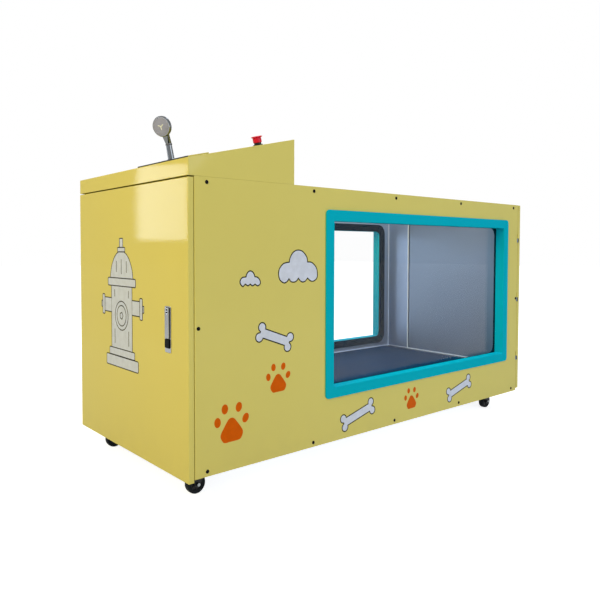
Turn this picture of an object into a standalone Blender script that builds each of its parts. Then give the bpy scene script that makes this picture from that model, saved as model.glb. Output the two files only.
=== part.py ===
"""Underwater dog treadmill: a glazed steel tank with a running belt, on casters.

Metres, +Z up. The origin is on the floor under the middle of the body, +X runs towards the entry
door, and the control side with the round hand shower is at -X.
"""

import math

import bmesh
import bpy
from mathutils import Matrix, Vector

# Body
PANEL_LENGTH = 2.100
PANEL_HEIGHT = 1.035
BODY_WIDTH = 0.925
GROUND_CLEARANCE = 0.100
PANEL_SHEET = 0.003
PANEL_RETURN = 0.018
PANEL_BEND = 0.0025
TANK_SHEET = 0.002
WALL_DEPTH = 0.052
END_DEPTH = 0.064
SERVICE_BAY_LENGTH = 0.520
RIM_DROP = 0.003
RIM_LIP_HEIGHT = 0.036
SEAT_GAP = 0.0003

# Base frame
BASE_TUBE = 0.040
BASE_TUBE_WALL = 0.003
CROSS_WIDTH = 0.080

# Windows
WINDOW_X = 0.2525
WINDOW_ABOVE_PANEL_BOTTOM = 0.5645
WINDOW_WIDTH = 1.377
WINDOW_HEIGHT = 0.767
WINDOW_CORNER = 0.018
FRAME_FACE = 0.044
FRAME_PROUD = 0.006
JAMB_WALL = 0.005
JAMB_CORNER = 0.004
PANEL_WINDOW_CLEARANCE = 0.002
GLASS_THICKNESS = 0.010
GLASS_LAP = 0.015
GLASS_CORNER = 0.030
GASKET_EDGE = 0.006
GASKET_PROUD = 0.004
GASKET_CORNER = 0.060
GASKET_INNER_CORNER = 0.040

# Running deck
BELT_TOP = 0.258
BELT_THICKNESS = 0.0027
BELT_EDGE_CLEARANCE = 0.0105
ROLLER_RADIUS = 0.045
ROLLER_END_CLEARANCE = 0.005
ROLLER_BULKHEAD_CLEARANCE = 0.025
ROLLER_DOOR_CLEARANCE = 0.010
SHAFT_RADIUS = 0.0125
SHAFT_WALL_CLEARANCE = 0.004
RUNNING_CLEARANCE = 0.0003
AXLE_RADIUS = 0.010
BED_THICKNESS = 0.020
BED_ROLLER_CLEARANCE = 0.007
BEARING_RADIUS = 0.034
BEARING_WIDTH = 0.014

# Drive
PULLEY_WIDTH = 0.020
PULLEY_OFFSET = 0.0052
DRIVE_PULLEY_RADIUS = 0.045
MOTOR_PULLEY_RADIUS = 0.025
TIMING_BELT_WIDTH = 0.015
TIMING_BELT_THICKNESS = 0.003
MOTOR_FROM_BULKHEAD = 0.190
MOTOR_HEIGHT = 0.300
MOTOR_RADIUS = 0.055
MOTOR_LENGTH = 0.200
MOTOR_BASE_LENGTH = 0.160
MOTOR_BASE_WIDTH = 0.090
MOTOR_SHAFT_RADIUS = 0.0095
MOTOR_FACE_INSET = 0.0575

# Doors
DOOR_GAP = 0.002
DOOR_THICKNESS = 0.023
DOOR_SKIN = 0.002
DOOR_EDGE_ROUND = 0.003
SERVICE_DOOR_DROP = 0.011
SERVICE_DOOR_TOP_GAP = 0.004
ENTRY_DOOR_LIFT = 0.011
DRAIN_HOLE_RADIUS = 0.004
PORTAL_DEPTH = 0.030
PORTAL_POST = 0.040
PORTAL_SILL = 0.020
PORTAL_SHEET = 0.003
DOORWAY_NEAR_INSET = 0.090
DOORWAY_WIDTH = 0.621
DOORWAY_TOP_RAIL = 0.070
DOORWAY_SILL_DROP = 0.002
DOORWAY_FLANGE = 0.025
END_WALL_LIP = 0.020
PLUG_RECESS = 0.002
PLUG_CLEARANCE = 0.004
PLUG_SWING_CLEARANCE = 0.008
SEAL_WIDTH = 0.020
SEAL_EDGE_CLEARANCE = 0.002

# Hinges
KNUCKLE_RADIUS = 0.005
KNUCKLE_HEIGHT = 0.022
KNUCKLE_SPLIT = 0.0002
KNUCKLE_NOTCH = 0.0065
HINGE_PIN_RADIUS = 0.0022
HINGE_PIN_LENGTH = 0.016
HINGE_LEAF_WIDTH = 0.024
HINGE_NOTCH_MARGIN = 0.0015
HINGE_SHARES = (0.18, 0.50, 0.82)

# Service door latch
LATCH_FROM_EDGE = 0.134
LATCH_ABOVE_PANEL_BOTTOM = 0.505
LATCH_WIDTH = 0.038
LATCH_HEIGHT = 0.162
LATCH_RIM = 0.001
LATCH_WALL = 0.0035
LATCH_FOOT = 0.014
LATCH_DISH_DEPTH = 0.0105
LATCH_BODY_BEHIND = 0.004
LATCH_PROUD = 0.008
LEVER_WIDTH = 0.026
LEVER_THICKNESS = 0.0055
LEVER_LENGTH = 0.108
LEVER_TOP_MARGIN = 0.001
LEVER_PIVOT_INSET = 0.012
LEVER_SLOT_HALF = 0.007
SPINDLE_RADIUS = 0.006
HINGE_BARREL_RADIUS = 0.003
CAM_THICKNESS = 0.004
CAM_WIDTH = 0.020
CAM_REACH = 0.045
CAM_GAP = 0.004
BUTTON_HEIGHT = 0.030
BUTTON_TRAVEL = 0.0025
BUTTON_SIDE_CLEARANCE = 0.0005
BUTTON_LEVER_GAP = 0.003

# Entry door latches
ENTRY_LATCH_FROM_EDGE = 0.0625
ENTRY_LATCH_HEIGHTS = (0.320, 0.760)
ENTRY_LEVER_WIDTH = 0.022
ENTRY_LEVER_LENGTH = 0.095
ENTRY_CAM_REACH = 0.035
ENTRY_CAM_DEPTH = 0.039

# Console
CONSOLE_FRONT_OVERHANG = 0.024
CONSOLE_LENGTH = 0.471
CONSOLE_FRONT_HEIGHT = 0.060
CONSOLE_BACK_HEIGHT = 0.172
CONSOLE_SHEET = 0.003
CONSOLE_EDGE_ROUND = 0.002
COVER_UNDER_CONSOLE = 0.037
PANEL_PLATE_LENGTH = 0.366
PANEL_PLATE_DEPTH = 0.085
PANEL_PLATE_THICKNESS = 0.004
PANEL_PLATE_MARGIN = 0.004
ESTOP_FROM_FRONT = 0.342
ESTOP_FROM_EDGE = 0.060
ESTOP_BEZEL_RADIUS = 0.0185
ESTOP_BEZEL_HEIGHT = 0.005
ESTOP_COLLAR_HEIGHT = 0.017
ESTOP_COLLAR_RADIUS = 0.0137
ESTOP_HEAD_BOTTOM = 0.0115
ESTOP_HEAD_RADIUS = 0.0165
ESTOP_CUP_CLEARANCE = 0.0005
ESTOP_RIM_RADIUS = 0.0215
ESTOP_RIM_BOTTOM = 0.0315
ESTOP_RIM_TOP = 0.0348
ESTOP_HEIGHT = 0.0362
ESTOP_EDGE_ROUND = 0.001
ESTOP_SHANK_RADIUS = 0.011
ESTOP_SHANK_LENGTH = 0.032
ESTOP_PLUNGER_RADIUS = 0.006
ESTOP_TRAVEL = 0.005
SHOWER_FROM_FRONT = 0.137
SHOWER_FROM_EDGE = 0.345
SHOWER_TILT = math.radians(11)
SHOWER_DISC_ALONG = 0.1408
SHOWER_DISC_FORWARD = 0.0245
SHOWER_DISC_RADIUS = 0.0395
SHOWER_DISC_THICKNESS = 0.018
SHOWER_BACK_SHARES = ((0.92, 0.75), (0.70, 1.2), (0, 1.5))
SHOWER_SHANK_RADIUS = 0.0115
SHOWER_HANDLE_RADIUS = 0.013
SHOWER_NECK_ALONG = 0.072
SHOWER_NECK_RADIUS = 0.0118
SHOWER_NECK_FLARE = 0.021
SHOWER_NECK_DEPTH = 0.006
SHOWER_NECK_BEHIND = 0.002
SHOWER_NECK_CORNER = 0.7
SHOWER_SHOULDER_RADIUS = 0.0155
SHOWER_SHOULDER_HEIGHT = 0.0025
SHOWER_SOCKET_DEPTH = 0.055
SHOWER_SLEEVE_WALL = 0.0035
SHOWER_SLEEVE_RISE = 0.008
SHOWER_FLANGE_RADIUS = 0.026
SHOWER_FLANGE_THICKNESS = 0.004
SHOWER_SLIDE_CLEARANCE = 0.0005
SHOWER_FACE = Vector((-0.84, -0.46, -0.32)).normalized()

# Water circuit and controls in the service bay
PUMP_Y = 0.180
PUMP_Z = 0.215
PUMP_RADIUS = 0.060
PUMP_WIDTH = 0.0545
PUMP_STANDOFF = 0.0155
PUMP_MOTOR_RADIUS = 0.048
PUMP_MOTOR_LENGTH = 0.170
PUMP_FOOT = 0.090
NOZZLE_RADIUS = 0.018
NOZZLE_CLEARANCE = 0.0015
PUMP_OUTLET_RISE = 0.115
PIPE_RADIUS = 0.018
PIPE_TOP = 0.420
PIPE_BEND = 0.050
FILTER_FROM_END = 0.190
FILTER_RADIUS = 0.070
FILTER_TOP = 0.580
FILTER_LID_RADIUS = 0.076
FILTER_LID_HEIGHT = 0.035
RETURN_Z = 0.500
VALVE_Y = -0.060
VALVE_Z = 0.215
VALVE_PIPE_RADIUS = 0.017
VALVE_BORE_RADIUS = 0.013
VALVE_BORE_DEPTH = 0.045
VALVE_LENGTH = 0.170
VALVE_BODY_RADIUS = 0.027
VALVE_BODY_LENGTH = 0.050
VALVE_FROM_BULKHEAD = 0.085
VALVE_BONNET_RADIUS = 0.014
VALVE_BONNET_TOP = 0.257
VALVE_LEVER_LENGTH = 0.090
VALVE_LEVER_WIDTH = 0.018
VALVE_LEVER_THICKNESS = 0.007
FITTING_FLANGE_WIDTH = 0.010
FITTING_FLANGE_THICKNESS = 0.006
CONTROL_BOX_SIZE = (0.280, 0.114, 0.340)
CONTROL_BOX_FROM_END = 0.070
CONTROL_BOX_BOTTOM = 0.660

# Casters
CASTER_INSET_X = 0.0975
CASTER_INSET_Y = 0.120
WHEEL_RADIUS = 0.0375
WHEEL_WIDTH = 0.028
WHEEL_ROUND = 0.006
WHEEL_TRAIL = 0.024
WHEEL_HUB_RADIUS = 0.012
WHEEL_SIDE_CLEARANCE = 0.0005
FORK_GAP = 0.032
FORK_SHEET = 0.0025
FORK_TOP = 0.083
FORK_CROWN_LENGTH = 0.075
CASTER_AXLE_RADIUS = 0.004
CASTER_NUT_RADIUS = 0.007
CASTER_NUT_THICKNESS = 0.003
SWIVEL_RADIUS = 0.025
PEDAL_PIVOT_BACK = 0.020
PEDAL_PIVOT_HEIGHT = 0.0745
PEDAL_LENGTH = 0.048
PEDAL_THICKNESS = 0.003
PEDAL_BARREL_RADIUS = 0.003

# Roundness
ROUND_STEPS = 32
SMALL_STEPS = 16
CORNER_STEPS = 5

# Places worked out from the sizes above
HALF_LENGTH = PANEL_LENGTH / 2
FILTER_X = -HALF_LENGTH + FILTER_FROM_END
FACE_Y = BODY_WIDTH / 2
PANEL_INNER_Y = FACE_Y - PANEL_SHEET
BEHIND_PANEL_Y = PANEL_INNER_Y - SEAT_GAP
BEHIND_RETURN_X = HALF_LENGTH - PANEL_SHEET - SEAT_GAP
PANEL_BOTTOM = GROUND_CLEARANCE
PANEL_TOP = PANEL_BOTTOM + PANEL_HEIGHT
FLOOR_BOTTOM = PANEL_BOTTOM + BASE_TUBE + SEAT_GAP
WALL_BOTTOM = FLOOR_BOTTOM + TANK_SHEET + SEAT_GAP
RIM_TOP = PANEL_TOP - RIM_DROP
TANK_INNER_Y = FACE_Y - WALL_DEPTH
TANK_OUTER_Y = TANK_INNER_Y + TANK_SHEET
BULKHEAD_X = -HALF_LENGTH + SERVICE_BAY_LENGTH
BULKHEAD_BACK_X = BULKHEAD_X - TANK_SHEET
END_FACE_X = HALF_LENGTH - END_DEPTH
WINDOW_Z = PANEL_BOTTOM + WINDOW_ABOVE_PANEL_BOTTOM
CLEAR_WIDTH = WINDOW_WIDTH - 2 * FRAME_FACE
CLEAR_HEIGHT = WINDOW_HEIGHT - 2 * FRAME_FACE
GLASS_WIDTH = CLEAR_WIDTH + 2 * GLASS_LAP
GLASS_HEIGHT = CLEAR_HEIGHT + 2 * GLASS_LAP
GLASS_OUTER_Y = TANK_INNER_Y + GLASS_THICKNESS
BELT_RADIUS = ROLLER_RADIUS + SEAT_GAP + BELT_THICKNESS
ROLLER_Z = BELT_TOP - BELT_RADIUS
DRIVE_X = BULKHEAD_X + ROLLER_BULKHEAD_CLEARANCE + BELT_RADIUS
TAIL_X = END_FACE_X - ROLLER_DOOR_CLEARANCE - BELT_RADIUS
BELT_HALF_WIDTH = TANK_INNER_Y - BELT_EDGE_CLEARANCE
BEARING_OUTER_Y = TANK_OUTER_Y + SEAT_GAP + BEARING_WIDTH
PULLEY_INNER_Y = BEARING_OUTER_Y + PULLEY_OFFSET
PULLEY_OUTER_Y = PULLEY_INNER_Y + PULLEY_WIDTH
MOTOR_X = BULKHEAD_X - MOTOR_FROM_BULKHEAD
MOTOR_FACE_Y = FACE_Y - MOTOR_FACE_INSET
DOOR_INNER_X = HALF_LENGTH + DOOR_GAP
DOOR_OUTER_X = DOOR_INNER_X + DOOR_THICKNESS
HINGE_X = HALF_LENGTH + DOOR_GAP / 2
SERVICE_DOOR_BOTTOM = PANEL_BOTTOM - SERVICE_DOOR_DROP
SERVICE_DOOR_TOP = PANEL_TOP - SERVICE_DOOR_TOP_GAP
ENTRY_DOOR_BOTTOM = PANEL_BOTTOM + ENTRY_DOOR_LIFT
DOORWAY_LOW = (-FACE_Y + DOORWAY_NEAR_INSET, BELT_TOP - DOORWAY_SILL_DROP)
DOORWAY_HIGH = (DOORWAY_LOW[0] + DOORWAY_WIDTH, PANEL_TOP - DOORWAY_TOP_RAIL)
LATCH_Y = -FACE_Y + LATCH_FROM_EDGE
LATCH_Z = PANEL_BOTTOM + LATCH_ABOVE_PANEL_BOTTOM
CONSOLE_BASE = PANEL_TOP + SEAT_GAP
CONSOLE_FRONT_X = -HALF_LENGTH - CONSOLE_FRONT_OVERHANG
CONSOLE_BACK_X = CONSOLE_FRONT_X + CONSOLE_LENGTH
CONSOLE_SLOPE = math.atan2(CONSOLE_BACK_HEIGHT - CONSOLE_FRONT_HEIGHT, CONSOLE_LENGTH)
SLOPE_NORMAL = Vector((-math.sin(CONSOLE_SLOPE), 0, math.cos(CONSOLE_SLOPE)))
SHOWER_AXIS = Vector((-math.sin(SHOWER_TILT), 0, math.cos(SHOWER_TILT)))

FINISHES = {
    "yellow_paint": ((0.66, 0.53, 0.10), 0.25, 0.0),
    "teal_paint": ((0.01, 0.36, 0.48), 0.45, 0.0),
    "stainless": ((0.48, 0.51, 0.55), 0.38, 1.0),
    "dark_steel": ((0.10, 0.10, 0.11), 0.5, 1.0),
    "bright_chrome": ((0.80, 0.81, 0.83), 0.12, 1.0),
    "black_rubber": ((0.01, 0.015, 0.02), 0.7, 0.0),
    "belt_rubber": ((0.035, 0.045, 0.065), 0.85, 0.0),
    "black_plastic": ((0.012, 0.012, 0.014), 0.4, 0.0),
    "grey_plastic": ((0.22, 0.23, 0.25), 0.5, 0.0),
    "red_plastic": ((0.62, 0.01, 0.02), 0.3, 0.0),
    "blue_paint": ((0.03, 0.10, 0.25), 0.4, 0.0),
    "clear_glass": ((0.85, 0.92, 0.93), 0.03, 0.0),
}


def clear_scene():
    for obj in list(bpy.data.objects):
        bpy.data.objects.remove(obj, do_unlink=True)


def new_collection(name):
    collection = bpy.data.collections.new(name)
    bpy.context.scene.collection.children.link(collection)
    return collection


def finish_material(name):
    known = bpy.data.materials.get(name)
    if known:
        return known
    colour, roughness, metallic = FINISHES[name]
    material = bpy.data.materials.new(name)
    material.use_nodes = True
    shader = material.node_tree.nodes["Principled BSDF"]
    shader.inputs["Base Color"].default_value = (*colour, 1.0)
    shader.inputs["Roughness"].default_value = roughness
    shader.inputs["Metallic"].default_value = metallic
    return material


def add_mesh(name, mesh, finish, matrix):
    """A named object in the part's collection, with its finish."""
    mesh.materials.clear()
    mesh.materials.append(finish_material(finish))
    obj = bpy.data.objects.new(name, mesh)
    obj.matrix_world = matrix
    PART.objects.link(obj)
    return obj


def shade(mesh, angle=35.0):
    mesh.shade_smooth()
    mesh.set_sharp_from_angle(angle=math.radians(angle))


def box(name, low, high, finish, edge_round=0.0):
    """A box between two corners, its edges rounded where edge_round is given."""
    low = Vector(low)
    high = Vector(high)
    size = high - low
    mesh = bpy.data.meshes.new(name)
    shape = bmesh.new()
    bmesh.ops.create_cube(shape, size=1.0, matrix=Matrix.Diagonal((*size, 1.0)))
    shape.to_mesh(mesh)
    shape.free()
    obj = add_mesh(name, mesh, finish, Matrix.Translation((low + high) / 2))
    if edge_round:
        bevel = obj.modifiers.new("edge_round", "BEVEL")
        bevel.width = edge_round
        bevel.segments = 2
        bevel.limit_method = "ANGLE"
    return obj


def rod(name, start, end, radius, finish, steps=ROUND_STEPS):
    """A cylinder from start to end."""
    start = Vector(start)
    end = Vector(end)
    mesh = bpy.data.meshes.new(name)
    shape = bmesh.new()
    bmesh.ops.create_cone(
        shape,
        cap_ends=True,
        segments=steps,
        radius1=radius,
        radius2=radius,
        depth=(end - start).length,
    )
    shape.to_mesh(mesh)
    shape.free()
    shade(mesh)
    turn = (end - start).to_track_quat("Z", "Y").to_matrix().to_4x4()
    return add_mesh(name, mesh, finish, Matrix.Translation((start + end) / 2) @ turn)


def mesh_from_curve(curve_object, finish):
    """The curve's evaluated mesh as an object of the same name, with its caps welded."""
    name = curve_object.name
    bpy.context.view_layer.update()
    graph = bpy.context.evaluated_depsgraph_get()
    mesh = bpy.data.meshes.new_from_object(curve_object.evaluated_get(graph))
    shape = bmesh.new()
    shape.from_mesh(mesh)
    bmesh.ops.remove_doubles(shape, verts=shape.verts, dist=1e-6)
    bmesh.ops.recalc_face_normals(shape, faces=shape.faces)
    shape.to_mesh(mesh)
    shape.free()
    matrix = curve_object.matrix_world.copy()
    bpy.data.objects.remove(curve_object, do_unlink=True)
    return add_mesh(name, mesh, finish, matrix)


# Columns: where the outline's first and second coordinate and its thickness point
OUTLINE_TURNS = {
    "X": Matrix(((0, 0, 1), (1, 0, 0), (0, 1, 0))),
    "Y": Matrix(((1, 0, 0), (0, 0, -1), (0, 1, 0))),
    "Z": Matrix(((1, 0, 0), (0, 1, 0), (0, 0, 1))),
}


def extrusion(name, outlines, axis, start, end, finish):
    """Flat outlines, the later ones holes, extruded along an axis from start to end."""
    curve = bpy.data.curves.new(name, "CURVE")
    curve.dimensions = "2D"
    curve.fill_mode = "BOTH"
    curve.extrude = abs(end - start) / 2
    for outline in outlines:
        spline = curve.splines.new("POLY")
        spline.points.add(len(outline) - 1)
        for point, (u, v) in zip(spline.points, outline):
            point.co = (u, v, 0, 1)
        spline.use_cyclic_u = True
    obj = bpy.data.objects.new(name, curve)
    middle = Vector((0, 0, 0))
    middle["XYZ".index(axis)] = (start + end) / 2
    obj.matrix_world = Matrix.Translation(middle) @ OUTLINE_TURNS[axis].to_4x4()
    PART.objects.link(obj)
    return mesh_from_curve(obj, finish)


def arc(centre, radius, start, end, steps):
    """Points on a circle, with the angles in degrees."""
    angles = [math.radians(start + (end - start) * i / steps) for i in range(steps + 1)]
    return [(centre[0] + radius * math.cos(a), centre[1] + radius * math.sin(a)) for a in angles]


def rectangle(low, high):
    return [low, (high[0], low[1]), high, (low[0], high[1])]


def round_rectangle(low, high, radius, steps=CORNER_STEPS):
    centres = rectangle(
        (low[0] + radius, low[1] + radius), (high[0] - radius, high[1] - radius)
    )
    points = []
    for centre, start in zip(centres, (180, 270, 360, 450)):
        points += arc(centre, radius, start, start + 90, steps)
    return points


def window_outline(width, height, radius, steps=CORNER_STEPS):
    """A rounded rectangle about the window's centre."""
    low = (WINDOW_X - width / 2, WINDOW_Z - height / 2)
    high = (WINDOW_X + width / 2, WINDOW_Z + height / 2)
    return round_rectangle(low, high, radius, steps)


def turned(name, profile, origin, direction, finish, steps=ROUND_STEPS, ring=False):
    """A profile of (radius, height) points, top to bottom on its outer side, turned once round."""
    mesh = bpy.data.meshes.new(name)
    edges = [(i, i + 1) for i in range(len(profile) - 1)]
    if ring:
        edges.append((len(profile) - 1, 0))
    mesh.from_pydata([(r, 0, z) for r, z in profile], edges, [])
    turn = Vector(direction).to_track_quat("Z", "Y").to_matrix().to_4x4()
    obj = add_mesh(name, mesh, finish, Matrix.Translation(origin) @ turn)
    screw = obj.modifiers.new("turn", "SCREW")
    screw.steps = steps
    screw.render_steps = steps
    screw.use_merge_vertices = True
    screw.merge_threshold = 1e-5
    screw.use_smooth_shade = True
    return obj


def combine(obj, helper, operation):
    """Joins the helper to the object, or cuts it away, and keeps the helper as a guide."""
    boolean = obj.modifiers.new(helper.name, "BOOLEAN")
    boolean.operation = operation
    boolean.solver = "EXACT"
    boolean.object = helper
    helper.hide_render = True
    helper.display_type = "WIRE"
    PART.objects.unlink(helper)
    HELPERS.objects.link(helper)


def cut(obj, *cutters):
    for cutter in cutters:
        combine(obj, cutter, "DIFFERENCE")
    return obj


def fuse(obj, *others):
    for other in others:
        combine(obj, other, "UNION")
    return obj


def settled(obj):
    """The object with its modifiers applied and its guides removed, ready to be copied."""
    bpy.context.view_layer.update()
    graph = bpy.context.evaluated_depsgraph_get()
    mesh = bpy.data.meshes.new_from_object(obj.evaluated_get(graph))
    guides = [m.object for m in obj.modifiers if m.type == "BOOLEAN"]
    obj.modifiers.clear()
    obj.data = mesh
    for guide in guides:
        bpy.data.objects.remove(guide, do_unlink=True)
    shade(mesh)
    return obj


def pivot(name, place, parent=None):
    """An empty on a joint's axis."""
    empty = bpy.data.objects.new(name, None)
    empty.empty_display_size = 0.05
    PART.objects.link(empty)
    empty.location = place
    if parent:
        empty.parent = parent
        empty.matrix_parent_inverse = Matrix.Translation(-PIVOT_PLACES[parent.name])
    PIVOT_PLACES[name] = Vector(place)
    return empty


def carry(empty, *objects):
    """Parents the objects to the empty and leaves them where they are."""
    for obj in objects:
        obj.parent = empty
        obj.matrix_parent_inverse = Matrix.Translation(-PIVOT_PLACES[empty.name])


def mirrored_y(points, side):
    return [(u, v * side) for u, v in points]


def slope_height(x):
    """The console's top surface above the floor, at x."""
    return CONSOLE_BASE + CONSOLE_FRONT_HEIGHT + (x - CONSOLE_FRONT_X) * math.tan(CONSOLE_SLOPE)


def hinge_heights(bottom, top):
    return [bottom + share * (top - bottom) for share in HINGE_SHARES]


def hinge_notches(side_x, side_y, heights, name):
    """Cutters that let the hinge knuckles and leaves through the corner of a side panel."""
    notches = []
    reach = KNUCKLE_HEIGHT + HINGE_NOTCH_MARGIN
    for i, height in enumerate(heights):
        inner_x = side_x * (HINGE_X - KNUCKLE_RADIUS - KNUCKLE_NOTCH / 2)
        outer_x = side_x * (HALF_LENGTH + DOOR_GAP)
        inner_y = side_y * (FACE_Y - HINGE_LEAF_WIDTH - KNUCKLE_RADIUS)
        outer_y = side_y * (FACE_Y + KNUCKLE_RADIUS)
        low = (min(inner_x, outer_x), min(inner_y, outer_y), height - reach)
        high = (max(inner_x, outer_x), max(inner_y, outer_y), height + reach)
        notches.append(box(f"{name}_{i}", low, high, "stainless"))
    return notches


def fixed_knuckles(frame, side_x, side_y, heights, name):
    """Lower hinge halves with their pins, welded to the frame."""
    for i, height in enumerate(heights):
        bottom = height - KNUCKLE_HEIGHT
        top = height - KNUCKLE_SPLIT
        axis = (side_x * HINGE_X, side_y * FACE_Y)
        inner_x = side_x * (BEHIND_RETURN_X - TANK_SHEET)
        outer_x = side_x * (HINGE_X - HINGE_PIN_RADIUS / 4)
        inner_y = side_y * (FACE_Y - HINGE_LEAF_WIDTH)
        outer_y = side_y * (FACE_Y + KNUCKLE_RADIUS / 4)
        low = (min(inner_x, outer_x), min(inner_y, outer_y), bottom)
        high = (max(inner_x, outer_x), max(inner_y, outer_y), top)
        leaf = box(f"{name}_leaf_{i}", low, high, "stainless")
        barrel = rod(
            f"{name}_barrel_{i}", (*axis, bottom), (*axis, top), KNUCKLE_RADIUS, "stainless", SMALL_STEPS
        )
        pin_top = height + HINGE_PIN_LENGTH
        pin = rod(
            f"{name}_pin_{i}",
            (*axis, bottom + KNUCKLE_RADIUS),
            (*axis, pin_top),
            HINGE_PIN_RADIUS,
            "stainless",
            SMALL_STEPS,
        )
        fuse(frame, leaf, barrel, pin)


def moving_knuckles(door, side_x, side_y, heights, name):
    """Upper hinge halves on the door, each bored for its pin, and room for the lower halves."""
    for i, height in enumerate(heights):
        axis = (side_x * HINGE_X, side_y * FACE_Y)
        room_inner = side_x * HALF_LENGTH
        room_outer = side_x * (HINGE_X + KNUCKLE_NOTCH)
        room_y = side_y * (FACE_Y - KNUCKLE_NOTCH)
        edge_y = side_y * (FACE_Y + KNUCKLE_NOTCH)
        low = (
            min(room_inner, room_outer), min(room_y, edge_y), height - KNUCKLE_HEIGHT - HINGE_NOTCH_MARGIN
        )
        high = (max(room_inner, room_outer), max(room_y, edge_y), height + KNUCKLE_SPLIT)
        room = box(f"{name}_room_{i}", low, high, "stainless")
        barrel = rod(
            f"{name}_knuckle_{i}",
            (*axis, height + KNUCKLE_SPLIT),
            (*axis, height + KNUCKLE_HEIGHT),
            KNUCKLE_RADIUS,
            "stainless",
            SMALL_STEPS,
        )
        bore_top = height + HINGE_PIN_LENGTH + RUNNING_CLEARANCE
        bore = rod(
            f"{name}_bore_{i}",
            (*axis, height - KNUCKLE_RADIUS),
            (*axis, bore_top),
            HINGE_PIN_RADIUS + RUNNING_CLEARANCE,
            "stainless",
            SMALL_STEPS,
        )
        cut(door, room)
        fuse(door, barrel)
        cut(door, bore)


def build_base():
    """Two long rails and two caster cross members, all rectangular tube."""
    inner_y = BEHIND_PANEL_Y - BASE_TUBE
    top = PANEL_BOTTOM + BASE_TUBE
    for name, side in (("base_rail_front", -1), ("base_rail_rear", 1)):
        outer = rectangle((inner_y, PANEL_BOTTOM), (BEHIND_PANEL_Y, top))
        hole = rectangle(
            (inner_y + BASE_TUBE_WALL, PANEL_BOTTOM + BASE_TUBE_WALL),
            (BEHIND_PANEL_Y - BASE_TUBE_WALL, top - BASE_TUBE_WALL),
        )
        outlines = [[(side * y, z) for y, z in outline] for outline in (outer, hole)]
        extrusion(name, outlines, "X", -BEHIND_RETURN_X, BEHIND_RETURN_X, "dark_steel")
    cross_end = inner_y - SEAT_GAP
    for name, side in (("base_cross_left", -1), ("base_cross_right", 1)):
        middle = side * (HALF_LENGTH - CASTER_INSET_X)
        outer = rectangle((middle - CROSS_WIDTH / 2, PANEL_BOTTOM), (middle + CROSS_WIDTH / 2, top))
        hole = rectangle(
            (middle - CROSS_WIDTH / 2 + BASE_TUBE_WALL, PANEL_BOTTOM + BASE_TUBE_WALL),
            (middle + CROSS_WIDTH / 2 - BASE_TUBE_WALL, top - BASE_TUBE_WALL),
        )
        extrusion(name, [outer, hole], "Y", -cross_end, cross_end, "dark_steel")


def build_side_panels():
    """The painted side sheets, returned at both ends and cut for the window."""
    inner_x = HALF_LENGTH - PANEL_SHEET
    return_y = FACE_Y - PANEL_RETURN
    bend = PANEL_BEND
    section = arc((-HALF_LENGTH + bend, FACE_Y - bend), bend, 180, 90, 4)
    section += arc((HALF_LENGTH - bend, FACE_Y - bend), bend, 90, 0, 4)
    section += [(HALF_LENGTH, return_y), (inner_x, return_y), (inner_x, PANEL_INNER_Y)]
    section += [(-inner_x, PANEL_INNER_Y), (-inner_x, return_y), (-HALF_LENGTH, return_y)]
    opening_width = CLEAR_WIDTH + 2 * (JAMB_WALL + PANEL_WINDOW_CLEARANCE)
    opening_height = CLEAR_HEIGHT + 2 * (JAMB_WALL + PANEL_WINDOW_CLEARANCE)
    opening = window_outline(opening_width, opening_height, JAMB_CORNER + JAMB_WALL)
    entry_heights = hinge_heights(ENTRY_DOOR_BOTTOM, PANEL_TOP)
    service_heights = hinge_heights(SERVICE_DOOR_BOTTOM, SERVICE_DOOR_TOP)
    for name, side in (("side_panel_front", -1), ("side_panel_rear", 1)):
        panel = extrusion(name, [mirrored_y(section, side)], "Z", PANEL_BOTTOM, PANEL_TOP, "yellow_paint")
        near = side * (FACE_Y - WALL_DEPTH)
        far = side * (FACE_Y + WALL_DEPTH)
        cut(panel, extrusion(f"{name}_window", [opening], "Y", near, far, "yellow_paint"))
        if side < 0:
            cut(panel, *hinge_notches(1, -1, entry_heights, "entry_hinge_notch"))
        else:
            cut(panel, *hinge_notches(-1, 1, service_heights, "service_hinge_notch"))


def build_tank_walls():
    """Long stainless walls with a rim that turns out and down behind the side panels."""
    rim_outer = BEHIND_PANEL_Y
    lip_bottom = RIM_TOP - RIM_LIP_HEIGHT
    sheet = TANK_SHEET
    section = [
        (TANK_INNER_Y, WALL_BOTTOM),
        (TANK_INNER_Y, RIM_TOP),
        (rim_outer, RIM_TOP),
        (rim_outer, lip_bottom),
        (rim_outer - sheet, lip_bottom),
        (rim_outer - sheet, RIM_TOP - sheet),
        (TANK_OUTER_Y, RIM_TOP - sheet),
        (TANK_OUTER_Y, WALL_BOTTOM),
    ]
    hole_radius = SHAFT_RADIUS + SHAFT_WALL_CLEARANCE
    opening = window_outline(
        GLASS_WIDTH + 2 * GASKET_EDGE, GLASS_HEIGHT + 2 * GASKET_EDGE, GLASS_CORNER + GASKET_EDGE
    )
    for name, side in (("tank_wall_front", -1), ("tank_wall_rear", 1)):
        outline = [(side * y, z) for y, z in section]
        wall = extrusion(name, [outline], "X", BULKHEAD_X + SEAT_GAP, END_FACE_X - SEAT_GAP, "stainless")
        near = side * (TANK_INNER_Y - WALL_DEPTH / 4)
        far = side * (TANK_OUTER_Y + WALL_DEPTH / 4)
        cut(wall, extrusion(f"{name}_window", [opening], "Y", near, far, "stainless"))
        cut(
            wall,
            rod(
                f"{name}_shaft_hole",
                (DRIVE_X, near, ROLLER_Z),
                (DRIVE_X, far, ROLLER_Z),
                hole_radius,
                "stainless",
            ),
        )


def build_tank_floor():
    box(
        "tank_floor",
        (-BEHIND_RETURN_X, -BEHIND_PANEL_Y, FLOOR_BOTTOM),
        (END_FACE_X - SEAT_GAP, BEHIND_PANEL_Y, FLOOR_BOTTOM + TANK_SHEET),
        "stainless",
    )


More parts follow.
